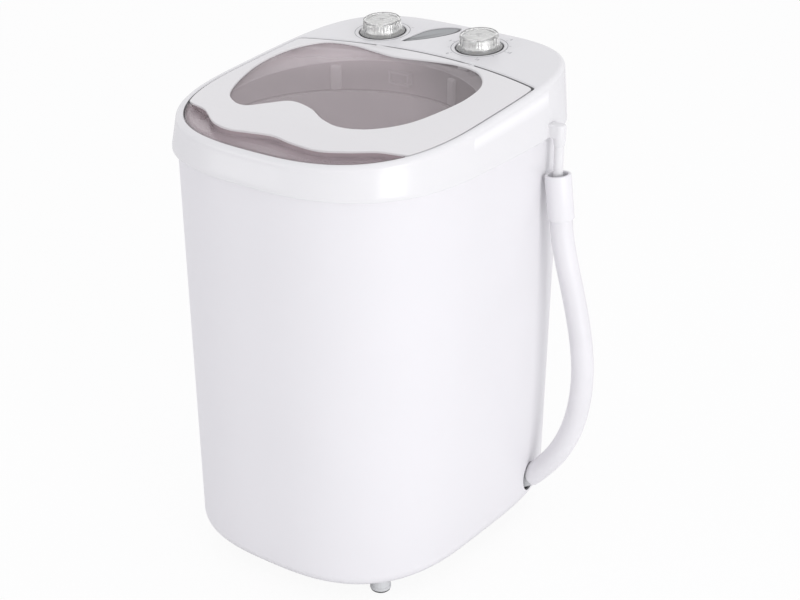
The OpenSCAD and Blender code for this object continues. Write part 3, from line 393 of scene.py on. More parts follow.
def ring_of(name, form, count, radius, start, step, matrix, finish, rise=0.0):
    """Copies of a form round an axis as one mesh, the angles in degrees. The form itself is used up."""
    ring = bpy.data.objects.new(name, bpy.data.meshes.new(name))
    bpy.context.scene.collection.objects.link(ring)
    mod = ring.modifiers.new("ring", "NODES")
    mod.node_group = RING_TREE
    values = {"Form": form, "Count": count, "Radius": radius * MM, "Start": math.radians(start),
              "Step": math.radians(step), "Rise": rise, "Finish": finish}
    for key, value in values.items():
        mod[RING_KEYS[key]] = value
    settled(ring)
    bpy.data.objects.remove(form)
    ring.data.transform(matrix)
    return ring


def cut_with(piece, cutters):
    """The piece with the cutters taken out of it. They are used up."""
    for cutter in cutters:
        mod = piece.modifiers.new("cut", "BOOLEAN")
        mod.operation = "DIFFERENCE"
        mod.solver = "MANIFOLD"
        mod.object = cutter
        cutter.hide_render = True
    settled(piece)
    for cutter in cutters:
        bpy.data.objects.remove(cutter)
    shade(piece.data)
    return piece


def joined(piece, others):
    """One piece of several meshes."""
    bm = bmesh.new()
    bm.from_mesh(piece.data)
    for other in others:
        bm.from_mesh(other.data)
        bpy.data.objects.remove(other)
    bm.to_mesh(piece.data)
    bm.free()
    return piece


# Camera, fitted to the photograph

CAMERA_AZ, CAMERA_EL, CAMERA_DIST = math.radians(36.4), math.radians(24.87), 1877.7
AIM_RIGHT, AIM_UP = 31.64, 259.3
FOCAL_PX, SHOT_W, SENSOR_W = 1752.2, 800, 36.0


def aim_camera():
    az, el = CAMERA_AZ, CAMERA_EL
    right = Vector((math.cos(az), math.sin(az), 0))
    back = Vector((math.sin(az) * math.cos(el), -math.cos(az) * math.cos(el), math.sin(el)))
    up = Vector((-math.sin(az) * math.sin(el), math.cos(az) * math.sin(el), math.cos(el)))
    target = right * AIM_RIGHT + Vector((-FRAME_X, 0, AIM_UP))
    place = (target + back * CAMERA_DIST) * MM
    data = bpy.data.cameras.new("camera")
    data.sensor_fit = "HORIZONTAL"
    data.sensor_width = SENSOR_W
    data.lens = FOCAL_PX / SHOT_W * SENSOR_W
    data.clip_end = 50.0
    camera = bpy.data.objects.new("camera", data)
    turn = Matrix((right, up, back)).transposed().to_4x4()
    camera.matrix_world = Matrix.Translation(place) @ turn
    bpy.context.scene.collection.objects.link(camera)
    bpy.context.scene.camera = camera


aim_camera()


# Materials

class Finish:
    """A node-built finish on object coordinates."""

    def __init__(self, name, colour, roughness):
        self.mat = bpy.data.materials.new(name)
        self.mat.use_nodes = True
        self.tree = self.mat.node_tree
        self.shader = self.tree.nodes["Principled BSDF"]
        self.colour = (*colour, 1.0)
        self.roughness = roughness
        self.put(Base_Color=self.colour, Roughness=roughness)
        self.coords = wired(self.tree, "ShaderNodeTexCoord", "Object")

    def put(self, **values):
        for key, value in values.items():
            self.shader.inputs[key.replace("_", " ")].default_value = value
        return self

    def feed(self, key, source):
        self.tree.links.new(source, self.shader.inputs[key])
        return self

    def noise(self, scale, detail=3.0, stretch=(1, 1, 1)):
        place = wired(self.tree, "ShaderNodeMapping", "Vector", {"Scale": stretch, "Vector": self.coords})
        return wired(self.tree, "ShaderNodeTexNoise", "Fac",
                     {"Scale": scale, "Detail": detail, "Roughness": 0.5, "Vector": place})

    def spread(self, source, low, high):
        """Noise, which lies mostly between 0.3 and 0.7, stretched to go from low to high."""
        return wired(self.tree, "ShaderNodeMapRange", "Result",
                     {"From Min": 0.3, "From Max": 0.7, "To Min": low, "To Max": high, "Value": source})

    def mottle(self, scale, other):
        """The colour drifts towards another over the surface."""
        drift = self.spread(self.noise(scale), 0.0, 1.0)
        return self.feed("Base Color", wired(
            self.tree, "ShaderNodeMix", "Result",
            {"A": self.colour, "B": (*other, 1.0), "Factor": drift}, data_type="RGBA"))

    def scuff(self, scale, spread):
        """The gloss varies a little over the surface."""
        low, high = self.roughness - spread, self.roughness + spread
        return self.feed("Roughness", self.spread(self.noise(scale), low, high))

    def with_painted_light(self):
        """The piece's painted light attribute paints light and shade into the colour, making a place lighter
        or darker.
        """
        tone = wired(self.tree, "ShaderNodeAttribute", "Color", attribute_name="tone")
        plain = self.shader.inputs["Base Color"].links[0].from_socket
        return self.feed("Base Color", wired(
            self.tree, "ShaderNodeMix", "Result",
            {"Factor": 1.0, "A": plain, "B": tone}, data_type="RGBA", blend_type="MULTIPLY"))

    def grain(self, scale, height, strength, stretch=(1, 1, 1)):
        """Fine relief, its height in metres."""
        relief = self.noise(scale, 2.0, stretch)
        return self.feed("Normal", wired(
            self.tree, "ShaderNodeBump", "Normal",
            {"Strength": strength, "Distance": height, "Height": relief}))


def times(colour, share):
    return tuple(c * share for c in colour)


def moulded_white(name, colour, roughness, with_painted_light=False):
    finish = Finish(name, colour, roughness).put(IOR=1.49)
    finish.mottle(9.0, times(colour, 0.985)).scuff(12.0, 0.012).grain(900.0, 0.00001, 0.12)
    return finish.with_painted_light().mat if with_painted_light else finish.mat


def tinted_plastic(name, colour, drift, roughness, **sockets):
    """A glossy plastic that lets light through. It takes its piece's painted light and shade."""
    finish = Finish(name, colour, roughness).put(**sockets)
    finish.mottle(12.0, times(colour, drift)).scuff(40.0, 0.02).grain(500.0, 0.00002, 0.2)
    return finish.with_painted_light().mat


def rubber(name, colour):
    finish = Finish(name, colour, 0.72).mottle(60.0, tuple(min(1, c * 1.5 + 0.01) for c in colour))
    return finish.grain(1400.0, 0.0001, 0.5).scuff(90.0, 0.08).mat


def metal(name, colour, roughness, stretch=(1, 1, 1), height=0.00003):
    finish = Finish(name, colour, roughness).put(Metallic=1.0)
    return finish.mottle(30.0, times(colour, 0.85)).scuff(80.0, 0.08).grain(600.0, height, 0.4, stretch).mat


def matte_plastic(name, colour, roughness=0.5):
    finish = Finish(name, colour, roughness)
    return finish.mottle(14.0, times(colour, 0.95)).scuff(50.0, 0.06).grain(1600.0, 0.00006, 0.4).mat


FINISHES = {
    "casing": moulded_white("casing_white", (0.80, 0.79, 0.81), 0.3),
    "collar_white": moulded_white("collar_white", (0.79, 0.785, 0.795), 0.26),
    "lid_white": moulded_white("lid_white", (0.80, 0.79, 0.795), 0.24),
    "base_plastic": matte_plastic("base_grey", (0.55, 0.56, 0.57)),
    "foot_plastic": matte_plastic("foot_white", (0.66, 0.67, 0.68)),
    "rubber": rubber("soft_rubber", (0.03, 0.03, 0.033)),
    "belt_rubber": rubber("belt_rubber", (0.015, 0.015, 0.016)),
    "steel": metal("zinc_screw", (0.6, 0.61, 0.63), 0.34),
    "shaft_steel": metal("ground_shaft", (0.66, 0.67, 0.68), 0.22, (1, 1, 30)),
    "bracket_steel": metal("pressed_bracket", (0.5, 0.51, 0.53), 0.42),
    "black_plastic": matte_plastic("gland_black", (0.02, 0.02, 0.022), 0.45),
    "smoked": tinted_plastic("smoked_panel", (0.55, 0.465, 0.485), 0.95, 0.06, IOR=1.5, Alpha=0.4),
    "tub_plastic": moulded_white("tub_white", (0.80, 0.79, 0.80), 0.3),
    "pulsator_plastic": moulded_white("agitator_blue_grey", (0.42, 0.5, 0.6), 0.3),
    "grey_plastic": matte_plastic("pipe_grey", (0.62, 0.63, 0.64)),
    "cast": metal("cast_wheel", (0.5, 0.5, 0.51), 0.5, height=0.0001),
    "motor_metal": matte_plastic("motor_paint", (0.2, 0.21, 0.22), 0.4),
    "capacitor_metal": metal("drawn_can", (0.7, 0.7, 0.71), 0.3, (1, 1, 0.1)),
    "switch_plastic": matte_plastic("switch_case", (0.55, 0.54, 0.5)),
    "clear_knob": tinted_plastic("clear_knob", (0.975, 0.975, 0.97), 0.97, 0.04, IOR=1.49,
                                 Transmission_Weight=0.82),
    "silver_core": metal("silvered_core", (0.9, 0.9, 0.9), 0.28),
    "leaf_grey": moulded_white("leaf_grey", (0.33, 0.34, 0.35), 0.3, True),
    "hose_plastic": matte_plastic("hose_white", (0.80, 0.79, 0.81), 0.42),
    "cuff_plastic": moulded_white("cuff_white", (0.82, 0.81, 0.83), 0.35),
}
# The collar's finish takes the painted light and shade set on its points
COLLAR_FINISH = moulded_white("collar_moulding", (0.79, 0.785, 0.795), 0.26, True)
# Ink for the dials' prints, also used for the rings of painted shade in the dishes
INK_AND_PAINTED_SHADE = matte_plastic("dial_ink", (0.16, 0.16, 0.18), 0.5)


def set_painted_light(piece, painted_light_at):
    """The piece's painted light and shade attribute, from a function of a point on the deck's axes, in
    millimetres.
    """
    tones = piece.data.color_attributes.new("tone", "FLOAT_COLOR", "POINT")
    to_deck = deck_matrix(0, 0).inverted()
    for vert, tone in zip(piece.data.vertices, tones.data):
        t = painted_light_at(*(to_deck @ vert.co / MM))
        tone.color = (t, t, t, 1.0)


def dress(piece, slot, body, *replaced, finish=None):
    """The finished piece set in the part's frame, with its finish, its body and the nodes it replaces."""
    piece.data.transform(Matrix.Translation((-FRAME_X * MM, 0, 0)))
    piece.data.materials.clear()
    piece.data.materials.append(finish or FINISHES[slot])
    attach(piece, body)
    if replaced:
        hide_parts(*replaced)


# Drain hose and its cuff

def make_hose():
    """The hose as it hangs, and the line along its middle."""
    y = BEND_AT[1]
    pts = [(x, y, z) for x, z in HOSE_ROUTE]
    lead = tuple(2 * a - b for a, b in zip(pts[0], pts[1]))
    tail = tuple(2 * a - b for a, b in zip(pts[-1], pts[-2]))
    full = [lead, *pts, tail]
    fine = smooth_line(full, 5)
    first = Vector((math.cos(OUTLET_TILT), 0, math.sin(OUTLET_TILT)))
    last = Vector((-math.sin(CUFF_TILT), 0, math.cos(CUFF_TILT)))
    circle = [(math.cos(a), math.sin(a)) for a in (2 * math.pi * k / 40 for k in range(40))]
    radius, rows = HOSE_D / 2 - HOSE_EASE, []
    for i, p in enumerate(fine):
        along = (Vector(fine[min(i + 1, len(fine) - 1)]) - Vector(fine[max(i - 1, 0)])).normalized()
        along = first if i == 0 else last if i == len(fine) - 1 else along
        side = Vector((along.z, 0, -along.x))
        rows.append([Vector(p) + radius * (side * c + Vector((0, s, 0))) for c, s in circle])
    return stack("hose_tube", rows), fine


def make_cuff():
    x, z = HOSE_ROUTE[-1]
    r, h, inner = CUFF_D / 2, CUFF_LEN, CUFF_D / 2 - CUFF_WALL
    profile = [(0, 4.0), (inner, 4.0)] + arc(inner + 1.2, h - 1.2, 1.2, 180, 90, 4)
    profile += arc(r - 1.4, h - 1.4, 1.4, 90, 0, 5) + arc(r - 1.0, 1.0, 1.0, 0, -90, 4) + [(0, 0.0)]
    return turned("cuff_sleeve", profile, 72, tipped_from((x, BEND_AT[1], z), -CUFF_TILT))


hose, hose_line = make_hose()
cuff = make_cuff()
dress(cuff, "cuff_plastic", "machine", "hose_cuff")
dress(hose, "hose_plastic", "machine", "drain_hose")


# Feet, whose white cups leave a thin rubber sole in sight

def at_feet(name, profile):
    """The same turned form at each of the four feet, as one piece."""
    places = [(x, y) for x in (-FOOT_X, FOOT_X) for y in (FOOT_FRONT, FOOT_REAR)]
    first, *rest = [turned(f"{name}_{i}", profile, 48, moved(x, y, 0)) for i, (x, y) in enumerate(places)]
    return joined(first, rest)


def make_cups():
    soft, socket_r = 0.8, FOOT_R - 2.8
    profile = [(0, SOLE_H), (FOOT_R - soft, SOLE_H)] + arc(FOOT_R - soft, SOLE_H + soft, soft, -60, 0, 4)
    profile += [(FOOT_R, PAD_H - 0.4), (FOOT_R - 0.4, PAD_H)]
    profile += [(socket_r, PAD_H), (socket_r, PAD_H / 2), (0, PAD_H / 2)]
    return at_feet("foot_cups", profile)


def make_soles():
    r = FOOT_R - 0.9
    return at_feet("foot_soles", [(0, 0), (r - 0.5, 0), (r, 0.5), (r, SOLE_H), (0, SOLE_H)])


dress(make_cups(), "foot_plastic", "machine", "foot_pads")
dress(make_soles(), "rubber", "machine", "foot_pads")


# Casing

def make_casing():
    foot_inset = LIP_STEP + BODY_DRAFT
    turn = foot_inset + BOTTOM_R
    low, side_low = FLOOR_GAP, FLOOR_GAP + BOTTOM_R
    # The flange under the base plate reaches in as far as this
    flange = turn + 25
    rings = [level(plan(flange), low + WALL), level(plan(flange), low)]
    rings += [level(plan(turn - r), low + z) for r, z in arc(0, BOTTOM_R, BOTTOM_R, -90, 0, 12)]
    for share in (0.25, 0.5, 0.75):
        rings.append(level(plan(foot_inset - BODY_DRAFT * share), side_low + (SEAM_Z - side_low) * share))
    rings += [level(plan(LIP_STEP), SEAM_Z + WALL), level(plan(LIP_STEP + WALL), SEAM_Z + WALL)]
    rings += [level(plan(turn - r), low + z) for r, z in arc(0, BOTTOM_R, BOTTOM_R - WALL, 0, -90, 6)]
    r = HOSE_D / 2 + 2.5
    hole = turned("outlet_hole", [(0, 0), (r, 0), (r, 60), (0, 60)], 64,
                  tipped_from(BEND_AT, math.pi / 2 - OUTLET_TILT))
    return cut_with(band("casing_shell", rings), [hole])


dress(make_casing(), "casing", "machine", "body_shell")


# Collar

LEAF_LINE = smooth_loop(LEAF, 12)
RECESS_REAR = LID_REAR + REAR_GAP
RECESS_EDGE = lid_plan(RECESS_INSET, RECESS_REAR)


def make_collar():
    rim_inset, rear, edge = COLLAR_DRAFT + RIM_R, RECESS_REAR, RECESS_EDGE
    # Radius of the recess's floor where it meets its wall and the throat
    fillet = 1.5
    under = -RECESS_DEPTH - WALL - 0.3
    rings = [level(plan(LIP_STEP - 0.5), SEAM_Z), level(plan(0.8), SEAM_Z)]
    rings += [level(plan(0.8 - r), SEAM_Z + z) for r, z in arc(0, 0.8, 0.8, -60, 0, 3)]
    rings += [level(plan(0), SEAM_Z + LIP_H - 1.5), level(plan(0.15), SEAM_Z + LIP_H)]
    lip = level(plan(0.15), SEAM_Z + LIP_H)
    shoulder = on_deck(plan(COLLAR_DRAFT), -RIM_R)
    for share in (0.15, 0.35, 0.6, 0.85):
        rings.append([tuple(a + (b - a) * share for a, b in zip(p, q)) for p, q in zip(lip, shoulder)])
    rings += [on_deck(plan(rim_inset - r), z - RIM_R) for r, z in arc(0, 0, RIM_R, 0, 90, 12)]
    for share in (0.0, 0.25, 0.5, 0.75, 1.0):
        cut = EDGE_R * (1 - share)
        rings.append(on_deck(lid_plan(RECESS_INSET - cut, rear + cut), -EDGE_R * share))
    rings += [on_deck(edge, -EDGE_R - 0.15), on_deck(edge, fillet - RECESS_DEPTH)]
    for r, z in arc(0, 0, fillet, 200, 270, 5):
        floor_edge = lid_plan(RECESS_INSET + fillet + r, rear - fillet - r)
        rings.append(on_deck(floor_edge, fillet - RECESS_DEPTH + z))
    for r, z in arc(0, 0, fillet, 90, 0, 5):
        rings.append(on_deck(round_plan(edge, THROAT_R + fillet - r), z - fillet - RECESS_DEPTH))
    seat_top = SEAT_Z + WALL
    for r, z in ((THROAT_R, SEAT_Z), (SEAT_R, SEAT_Z), (SEAT_R, seat_top), (THROAT_R + WALL, seat_top)):
        rings.append(level(round_plan(edge, r), z))
    rings.append(on_deck(round_plan(edge, THROAT_R + WALL), under))
    back = lid_plan(RECESS_INSET - WALL, rear + WALL)
    skirt = plan(COLLAR_DRAFT + WALL)
    # The underside is close under the deck where there is room, and low where the deck is narrow
    depths = [-WALL if math.dist(p, q) > 4 * WALL else -RECESS_DEPTH + 1 for p, q in zip(back, skirt)]
    rings.append(on_deck(back, under))
    for line in (back, skirt):
        rings.append([deck_point(*p, d) for p, d in zip(line, depths)])
    rings += [level(plan(LIP_STEP + WALL), SEAM_Z + WALL), level(plan(LIP_STEP - 0.5), SEAM_Z + WALL)]
    cutters = []
    for name, at in (("timer_dish", TIMER_AT), ("mode_dish", MODE_AT)):
        profile = [(0, -DIAL_DEPTH)] + arc(DIAL_R - 1, -DIAL_DEPTH + 1, 1, 270, 360, 4)
        profile += arc(DIAL_R + 1.2, -1.2, 1.2, 180, 90, 5) + [(DIAL_R + 1.2, 3), (0, 3)]
        cutters.append(turned(name, profile, 120, deck_matrix(*at)))
    rows = [on_deck(LEAF_LINE, -DIAL_DEPTH - 0.5), on_deck(LEAF_LINE, -1.0)]
    rows += [on_deck(grow(LEAF_LINE, 1.0 + r), z - 1.0) for r, z in arc(0, 0, 1.0, 180, 90, 5)[1:]]
    rows.append(on_deck(grow(LEAF_LINE, 1.0), 3))
    cutters.append(stack("leaf_pocket", rows))
    return cut_with(band("collar_top", rings), cutters)


def slab_on(matrix, size, name, round_r):
    """A block with softened edges, its middle at the matrix."""
    bm = bmesh.new()
    bmesh.ops.create_cube(bm, size=1.0)
    bmesh.ops.scale(bm, verts=bm.verts, vec=Vector(size) * MM)
    bmesh.ops.bevel(bm, geom=bm.edges[:], offset=round_r * MM, segments=4, profile=0.5, affect="EDGES")
    mesh = bpy.data.meshes.new(name)
    bm.to_mesh(mesh)
    bm.free()
    mesh.transform(matrix)
    shade(mesh, 50)
    piece = bpy.data.objects.new(name, mesh)
    bpy.context.scene.collection.objects.link(piece)
    return piece


def make_throat_ribs():
    """Upright guide ribs round the tub's mouth, which stand higher towards the back."""
    r = THROAT_R - 1.2
    height = TOP_Z + TUB_Y * math.tan(TILT) - RECESS_DEPTH - 3.5 - SEAT_Z
    rib = slab_on(moved(0, 0, height / 2), (6.4, 12, height), "guide_rib", 2.4)
    return [ring_of("guide_ribs", rib, RIB_COUNT, r, RIB_START, 360 / RIB_COUNT, moved(0, TUB_Y, SEAT_Z),
                    FINISHES["collar_white"], r * math.tan(TILT) / height)]


def make_lug():
    """The rounded tab that carries the peg."""
    root_x = BODY_W / 2 - LIP_STEP - 2.2
    y, r, soft = BEND_AT[1], LUG_R, 2.0
    side = [(root_x, y - r), (PEG_X, y - r)] + arc(PEG_X, y, r, -80, 80, 16)
    side += [(PEG_X, y + r), (root_x, y + r)]
    rows = [level(grow(side, e - soft), SEAM_Z + soft + z) for e, z in arc(0, 0, soft, 270, 360, 4)]
    rows += [level(grow(side, e - soft), SEAM_Z + LUG_H - soft + z) for e, z in arc(0, 0, soft, 0, 90, 4)]
    lug = stack("lug_tab", rows, 50)
    profile = [(0, SEAM_Z + 3), (r, SEAM_Z + 3), (r, SEAM_Z), (r - 0.95, SEAM_Z - 6.8)]
    profile += arc(r - 2.0, SEAM_Z - 7.0, 1.0, 0, -90, 4) + [(0, SEAM_Z - 8)]
    return [lug, turned("lug_boss", profile, 64, moved(PEG_X, y, 0))]


def hinge_barrel(name, x, width, soft):
    """A short cylinder on the hinge's axis, its ends eased."""
    r, end = BARREL_R, width / 2
    profile = [(0, -end), (r - soft, -end), (r, soft - end), (r, end - soft), (r - soft, end), (0, end)]
    place = deck_matrix(x, HINGE_Y, HINGE_H) @ Matrix.Rotation(math.pi / 2, 4, "Y")
    return turned(name, profile, 40, place)


def make_hinge_cheeks():
    low, high = -RECESS_DEPTH - 0.4, HINGE_H
    size = (CHEEK_W, 2 * BARREL_R, high - low)
    out = []
    for x in (-CHEEK_X, CHEEK_X):
        out.append(slab_on(deck_matrix(x, HINGE_Y, (low + high) / 2), size, "cheek", 0.4))
        out.append(hinge_barrel("cheek_eye", x, CHEEK_W, 0.4))
    return out


# Painted shade in the gap, the dishes and the throat, more of it to the right, and painted light on the ribs
# and floor
PAINTED_GAP_SHADE, PAINTED_DISH_SHADE, PAINTED_RIB_LIGHT, PAINTED_THROAT_SHADE, PAINTED_RIGHT_SHADE = 0.4, 0.35, 1.15, 0.55, 0.25


def collar_painted_light(x, y, w):
    """Painted shade in the gap and on the dishes' walls, painted shade on the throat's wall that deepens to
    the right, and painted light on its ribs and floor.
    """
    if w > -EDGE_R - 0.08:
        return 1.0
    if w > 1.0 - RECESS_DEPTH:
        # Painted shade on the dishes' walls and in the gap round the lid
        if w < -1.6 and any(abs(math.dist((x, y), at) - DIAL_R + 0.2) < 0.9 for at in (TIMER_AT, MODE_AT)):
            return PAINTED_DISH_SHADE
        return PAINTED_GAP_SHADE if away((x, y), RECESS_EDGE) < 1.2 else 1.0
    out = math.hypot(x, y * math.cos(TILT) - w * math.sin(TILT) - TUB_Y)
    if w > -RECESS_DEPTH - 0.8:
        # Painted light on the recess's floor near its edge
        return PAINTED_RIB_LIGHT if out > THROAT_R and away((x, y), RECESS_EDGE) < 40 else 1.0
    if out < THROAT_R - 0.3:
        # Painted light on the ribs, painted shade on the throat's wall, deeper to the right
        return PAINTED_RIB_LIGHT
    return PAINTED_THROAT_SHADE - PAINTED_RIGHT_SHADE * ramp(x, 10.0, 80.0) if out < THROAT_R + 10 else 1.0


collar = joined(make_collar(), make_throat_ribs() + make_lug() + make_hinge_cheeks())
set_painted_light(collar, collar_painted_light)
dress(collar, "collar_white", "machine", "collar", finish=COLLAR_FINISH)


# Lid

def faces_between(outline, hole, outline_start, hole_start):
    """Triangles between a flat outline and its hole, whose points are numbered from their starts."""
    split = len(outline)
    tris = tessellate_polygon([[Vector((x, y, 0)) for x, y in loop] for loop in (outline, hole)])
    return [tuple(outline_start + i if i < split else hole_start + i - split for i in t) for t in tris]


WAVE_LINE = smooth_line(WAVE, 14)


def wave_y(x):
    """How far back the skin's wavy front edge lies at x."""
    for (x0, y0), (x1, y1) in zip(WAVE_LINE, WAVE_LINE[1:]):
        if x0 <= x <= x1:
            return y0 + (y1 - y0) * (x - x0) / (x1 - x0)
    return WAVE_LINE[0][1] if x < WAVE_LINE[0][0] else WAVE_LINE[-1][1]


def lid_outline(inset, rear_in, back=0.0):
    """The lid's plan behind its wavy front edge, or behind a line so far in back of that edge."""
    outer = lid_plan(LID_INSET + inset, LID_REAR - rear_in)
    wave = [(x, y + back) for x, y in WAVE_LINE]
    keep = [p[1] > wave_y(p[0]) + back + 0.6 for p in outer]
    n = len(outer)
    first = next(i for i in range(n) if keep[i] and not keep[i - 1])
    kept = []
    i = first
    while keep[i % n]:
        kept.append(outer[i % n])
        i += 1
    x_right, x_left = kept[0][0], kept[-1][0]
    front = [p for p in wave if x_left + 1.0 < p[0] < x_right - 1.0]
    return kept + front


def even_loop(points, count):
    """A closed outline drawn again with its points at even distances."""
    n = len(points)
    run = [0.0]
    for i in range(n):
        run.append(run[-1] + math.dist(points[i], points[(i + 1) % n]))
    out, k = [], 0
    for i in range(count):
        want = run[-1] * i / count
        while run[k + 1] < want:
            k += 1
        s = (want - run[k]) / (run[k + 1] - run[k])
        a, b = points[k], points[(k + 1) % n]
        out.append((a[0] + (b[0] - a[0]) * s, a[1] + (b[1] - a[1]) * s))
    return out


def window_loop(count):
    return even_loop(smooth_loop(WINDOW, 12), count)


def make_lid_skin():
    """The skin with its rounded window and edge, notched behind for the hinge's cheeks."""
    outer = softened(even_loop(lid_outline(0, 0), 640), 3)
    window, lip = window_loop(WINDOW_AROUND), 2.2
    outer_rows = [(grow(outer, r - EDGE_R), z - EDGE_R) for r, z in arc(0, 0, EDGE_R, 90, 0, 6)]
    hole_rows = [(grow(window, lip - r), z - lip) for r, z in arc(0, 0, lip, 90, 0, 7)]
    points, faces, ends = [], [], []
    for rows, line in ((outer_rows, outer), (hole_rows, window)):
        rows.append((line, -SKIN_T))
        start = len(points)
        for loop, z in rows:
            points += on_deck(loop, z)
        faces += loft_faces(len(rows), len(line), False, start)
        ends.append((start, len(points) - len(line)))
    for end, outer_start, hole_start in zip((0, -1), *ends):
        faces += faces_between(outer_rows[end][0], hole_rows[end][0], outer_start, hole_start)
    notch = (CHEEK_W + 0.6, 10.4, 20)
    notches = [slab_on(deck_matrix(x, HINGE_Y + 2.3, 0), notch, "notch", 0.3) for x in (-CHEEK_X, CHEEK_X)]
    return cut_with(piece_from("lid_skin", points, faces, 50), notches)


def make_lid_rim():
    """The skin's downturned edge, open along the hinge."""
    outer = lid_plan(LID_INSET + 0.3, LID_REAR)
    inner = lid_plan(LID_INSET + LID_EDGE_T, LID_REAR)
    keep = [wave_y(x) + 1.0 < y < HINGE_Y - 18 for x, y in outer]
    rims = []
    n = len(outer)
    for side in (-1, 1):
        picks = [i for i in range(n) if keep[i] and outer[i][0] * side > 0]
        picks.sort(key=lambda i: outer[i][1])
        line = [outer[i] for i in picks] + [inner[i] for i in reversed(picks)]
        rims.append(stack("rim", [on_deck(line, w) for w in (-LID_H, -SKIN_T + 0.4)], 40))
    return rims


def make_lid_knuckles():
    web = (KNUCKLE_W, 2 * BARREL_R, 3.9)
    out = []
    for x in (-KNUCKLE_X, KNUCKLE_X):
        out.append(hinge_barrel("knuckle", x, KNUCKLE_W, 0.3))
        out.append(slab_on(deck_matrix(x, HINGE_Y - BARREL_R, HINGE_H - 0.65), web, "knuckle_web", 0.4))
    return out


lid_skin = joined(make_lid_skin(), make_lid_rim() + make_lid_knuckles())
dress(lid_skin, "lid_white", "lid", "lid_frame")


def dish_height(inward):
    """Height of the finger recess's floor, so far in from the lid's front edge."""
    steep, rim, reach, rise = math.radians(75), 1.5, 18.0, 6.5
    if inward <= rim:
        return -1.0
    a = math.asin((1 - ramp(inward, rim, reach)) * math.sin(steep))
    return -1.0 - rise + rise * (1 - math.cos(a)) / (1 - math.cos(steep))


def make_finger_recess():
    """The panel's scooped strip in front of the skin's wavy edge, with the wall that carries the skin."""
    edge = [p for p in lid_plan(LID_INSET, LID_REAR) if p[1] < wave_y(p[0]) - 0.4 and abs(p[0]) < 141]
    edge.sort(key=lambda p: p[0])
    steps = [0, 0.5, 1.5, 2.0, 2.7, 3.6, 4.8, 6.2, 7.8, 9.6, 11.6, 13.8, 16.2, 19.5]
    stations = []
    for k, (x, y) in enumerate(edge):
        ahead, behind = edge[min(k + 1, len(edge) - 1)], edge[max(k - 1, 0)]
        tx, ty = ahead[0] - behind[0], ahead[1] - behind[1]
        s = math.hypot(tx, ty)
        inward = (-ty / s, tx / s)
        reach = 0.0
        while y + inward[1] * reach < wave_y(x + inward[0] * reach) and reach < 60:
            reach += 0.2
        ring = [(x, y, -LID_H), (x, y, -1.4)]
        for d in steps:
            d = min(max(d, 0.35), reach)
            ring.append((x + inward[0] * d, y + inward[1] * d, dish_height(d)))
        end = (x + inward[0] * reach, y + inward[1] * reach)
        back = (end[0] + inward[0] * PANEL_T, end[1] + inward[1] * PANEL_T)
        ring += [(*end, dish_height(reach)), (*end, -SKIN_T), (*back, -SKIN_T), (*back, -LID_H)]
        stations.append([deck_point(*p) for p in ring])
    return stack("finger_recess", stations, 50)


def make_lid_panel():
    """Smoked panel: a pane under the skin and the finger recess in front of it."""
    pane = even_loop(lid_outline(LID_EDGE_T + 0.3, 4.0, PANEL_T), 560)
    low, high = -SKIN_T - PANEL_T, -SKIN_T
    rows = [on_deck(grow(pane, r - 0.5), low + 0.5 + z) for r, z in arc(0, 0, 0.5, 270, 360, 3)]
    rows += [on_deck(grow(pane, r - 0.5), high - 0.5 + z) for r, z in arc(0, 0, 0.5, 0, 90, 3)]
    points = [p for row in rows for p in row]
    faces = loft_faces(len(rows), len(pane)) + [tuple(range(len(pane)))]
    top, seen = (len(rows) - 1) * len(pane), len(points)
    window = window_loop(WINDOW_AROUND)
    loops = [grow(window, g) for g in (2.4, 1.0, -0.9, -2.0)]
    loops += [[(x * share, y * share) for x, y in loops[-1]] for share in (0.85, 0.7, 0.55, 0.4, 0.25, 0.1)]
    for loop in loops:
        points += on_deck(loop, high)
    faces += faces_between(grow(pane, -0.5), loops[0], top, seen)
    faces += loft_faces(len(loops), WINDOW_AROUND, False, seen)
    faces.append(tuple(range(len(points) - WINDOW_AROUND, len(points))))
    room = (KNUCKLE_W + 0.8, 12, 12)
    notches = [slab_on(deck_matrix(x, HINGE_Y + 0.4, low), room, "knuckle_room", 0.3)
               for x in (-KNUCKLE_X, KNUCKLE_X)]
    return joined(cut_with(piece_from("smoked_pane", points, faces, 50), notches), [make_finger_recess()])


WINDOW_EDGE = window_loop(140)
# Painted shade along the window's edge, under the skin
PANE_EDGE_PAINTED_SHADE = 0.45


def panel_painted_light(x, y, w):
    """Painted light and shade on the pane: painted light towards the upper left of the window, painted shade
    towards its right, and painted shade darkest at its edge. The finger recess has painted light, with
    painted shade on its wall under the skin.
    """
    ahead = wave_y(x) - y
    if ahead > -PANEL_T - 0.3:
        # Painted light on the finger recess's strip and the low part of its wall, painted shade on the wall's
        # top under the skin
        return 1.5 if ahead < 0.3 else 0.6 if w > -1.6 else 1.25
    if w < -SKIN_T - 0.3:
        return 1.0
    # Painted light towards the upper left of the window, painted shade towards its right
    painted_light_drift = 1.0 + 0.4 * ramp(0.85 * y - 0.5 * x, 40.0, 50.0) - 0.6 * ramp(0.7 * x + 0.7 * y, 35.0, 50.0)
    return PANE_EDGE_PAINTED_SHADE * painted_light_drift if away((x, y), WINDOW_EDGE) < 1.7 else painted_light_drift


lid_panel = make_lid_panel()
set_painted_light(lid_panel, panel_painted_light)
dress(lid_panel, "smoked", "lid", "lid_panel")


# Knobs

FLUTES, FLUTE_DEPTH = 6, 1.3
RAYS, RAY_DEPTH = 36, 0.35
# Bore of the core, round the shaft
BORE_R = 3.02


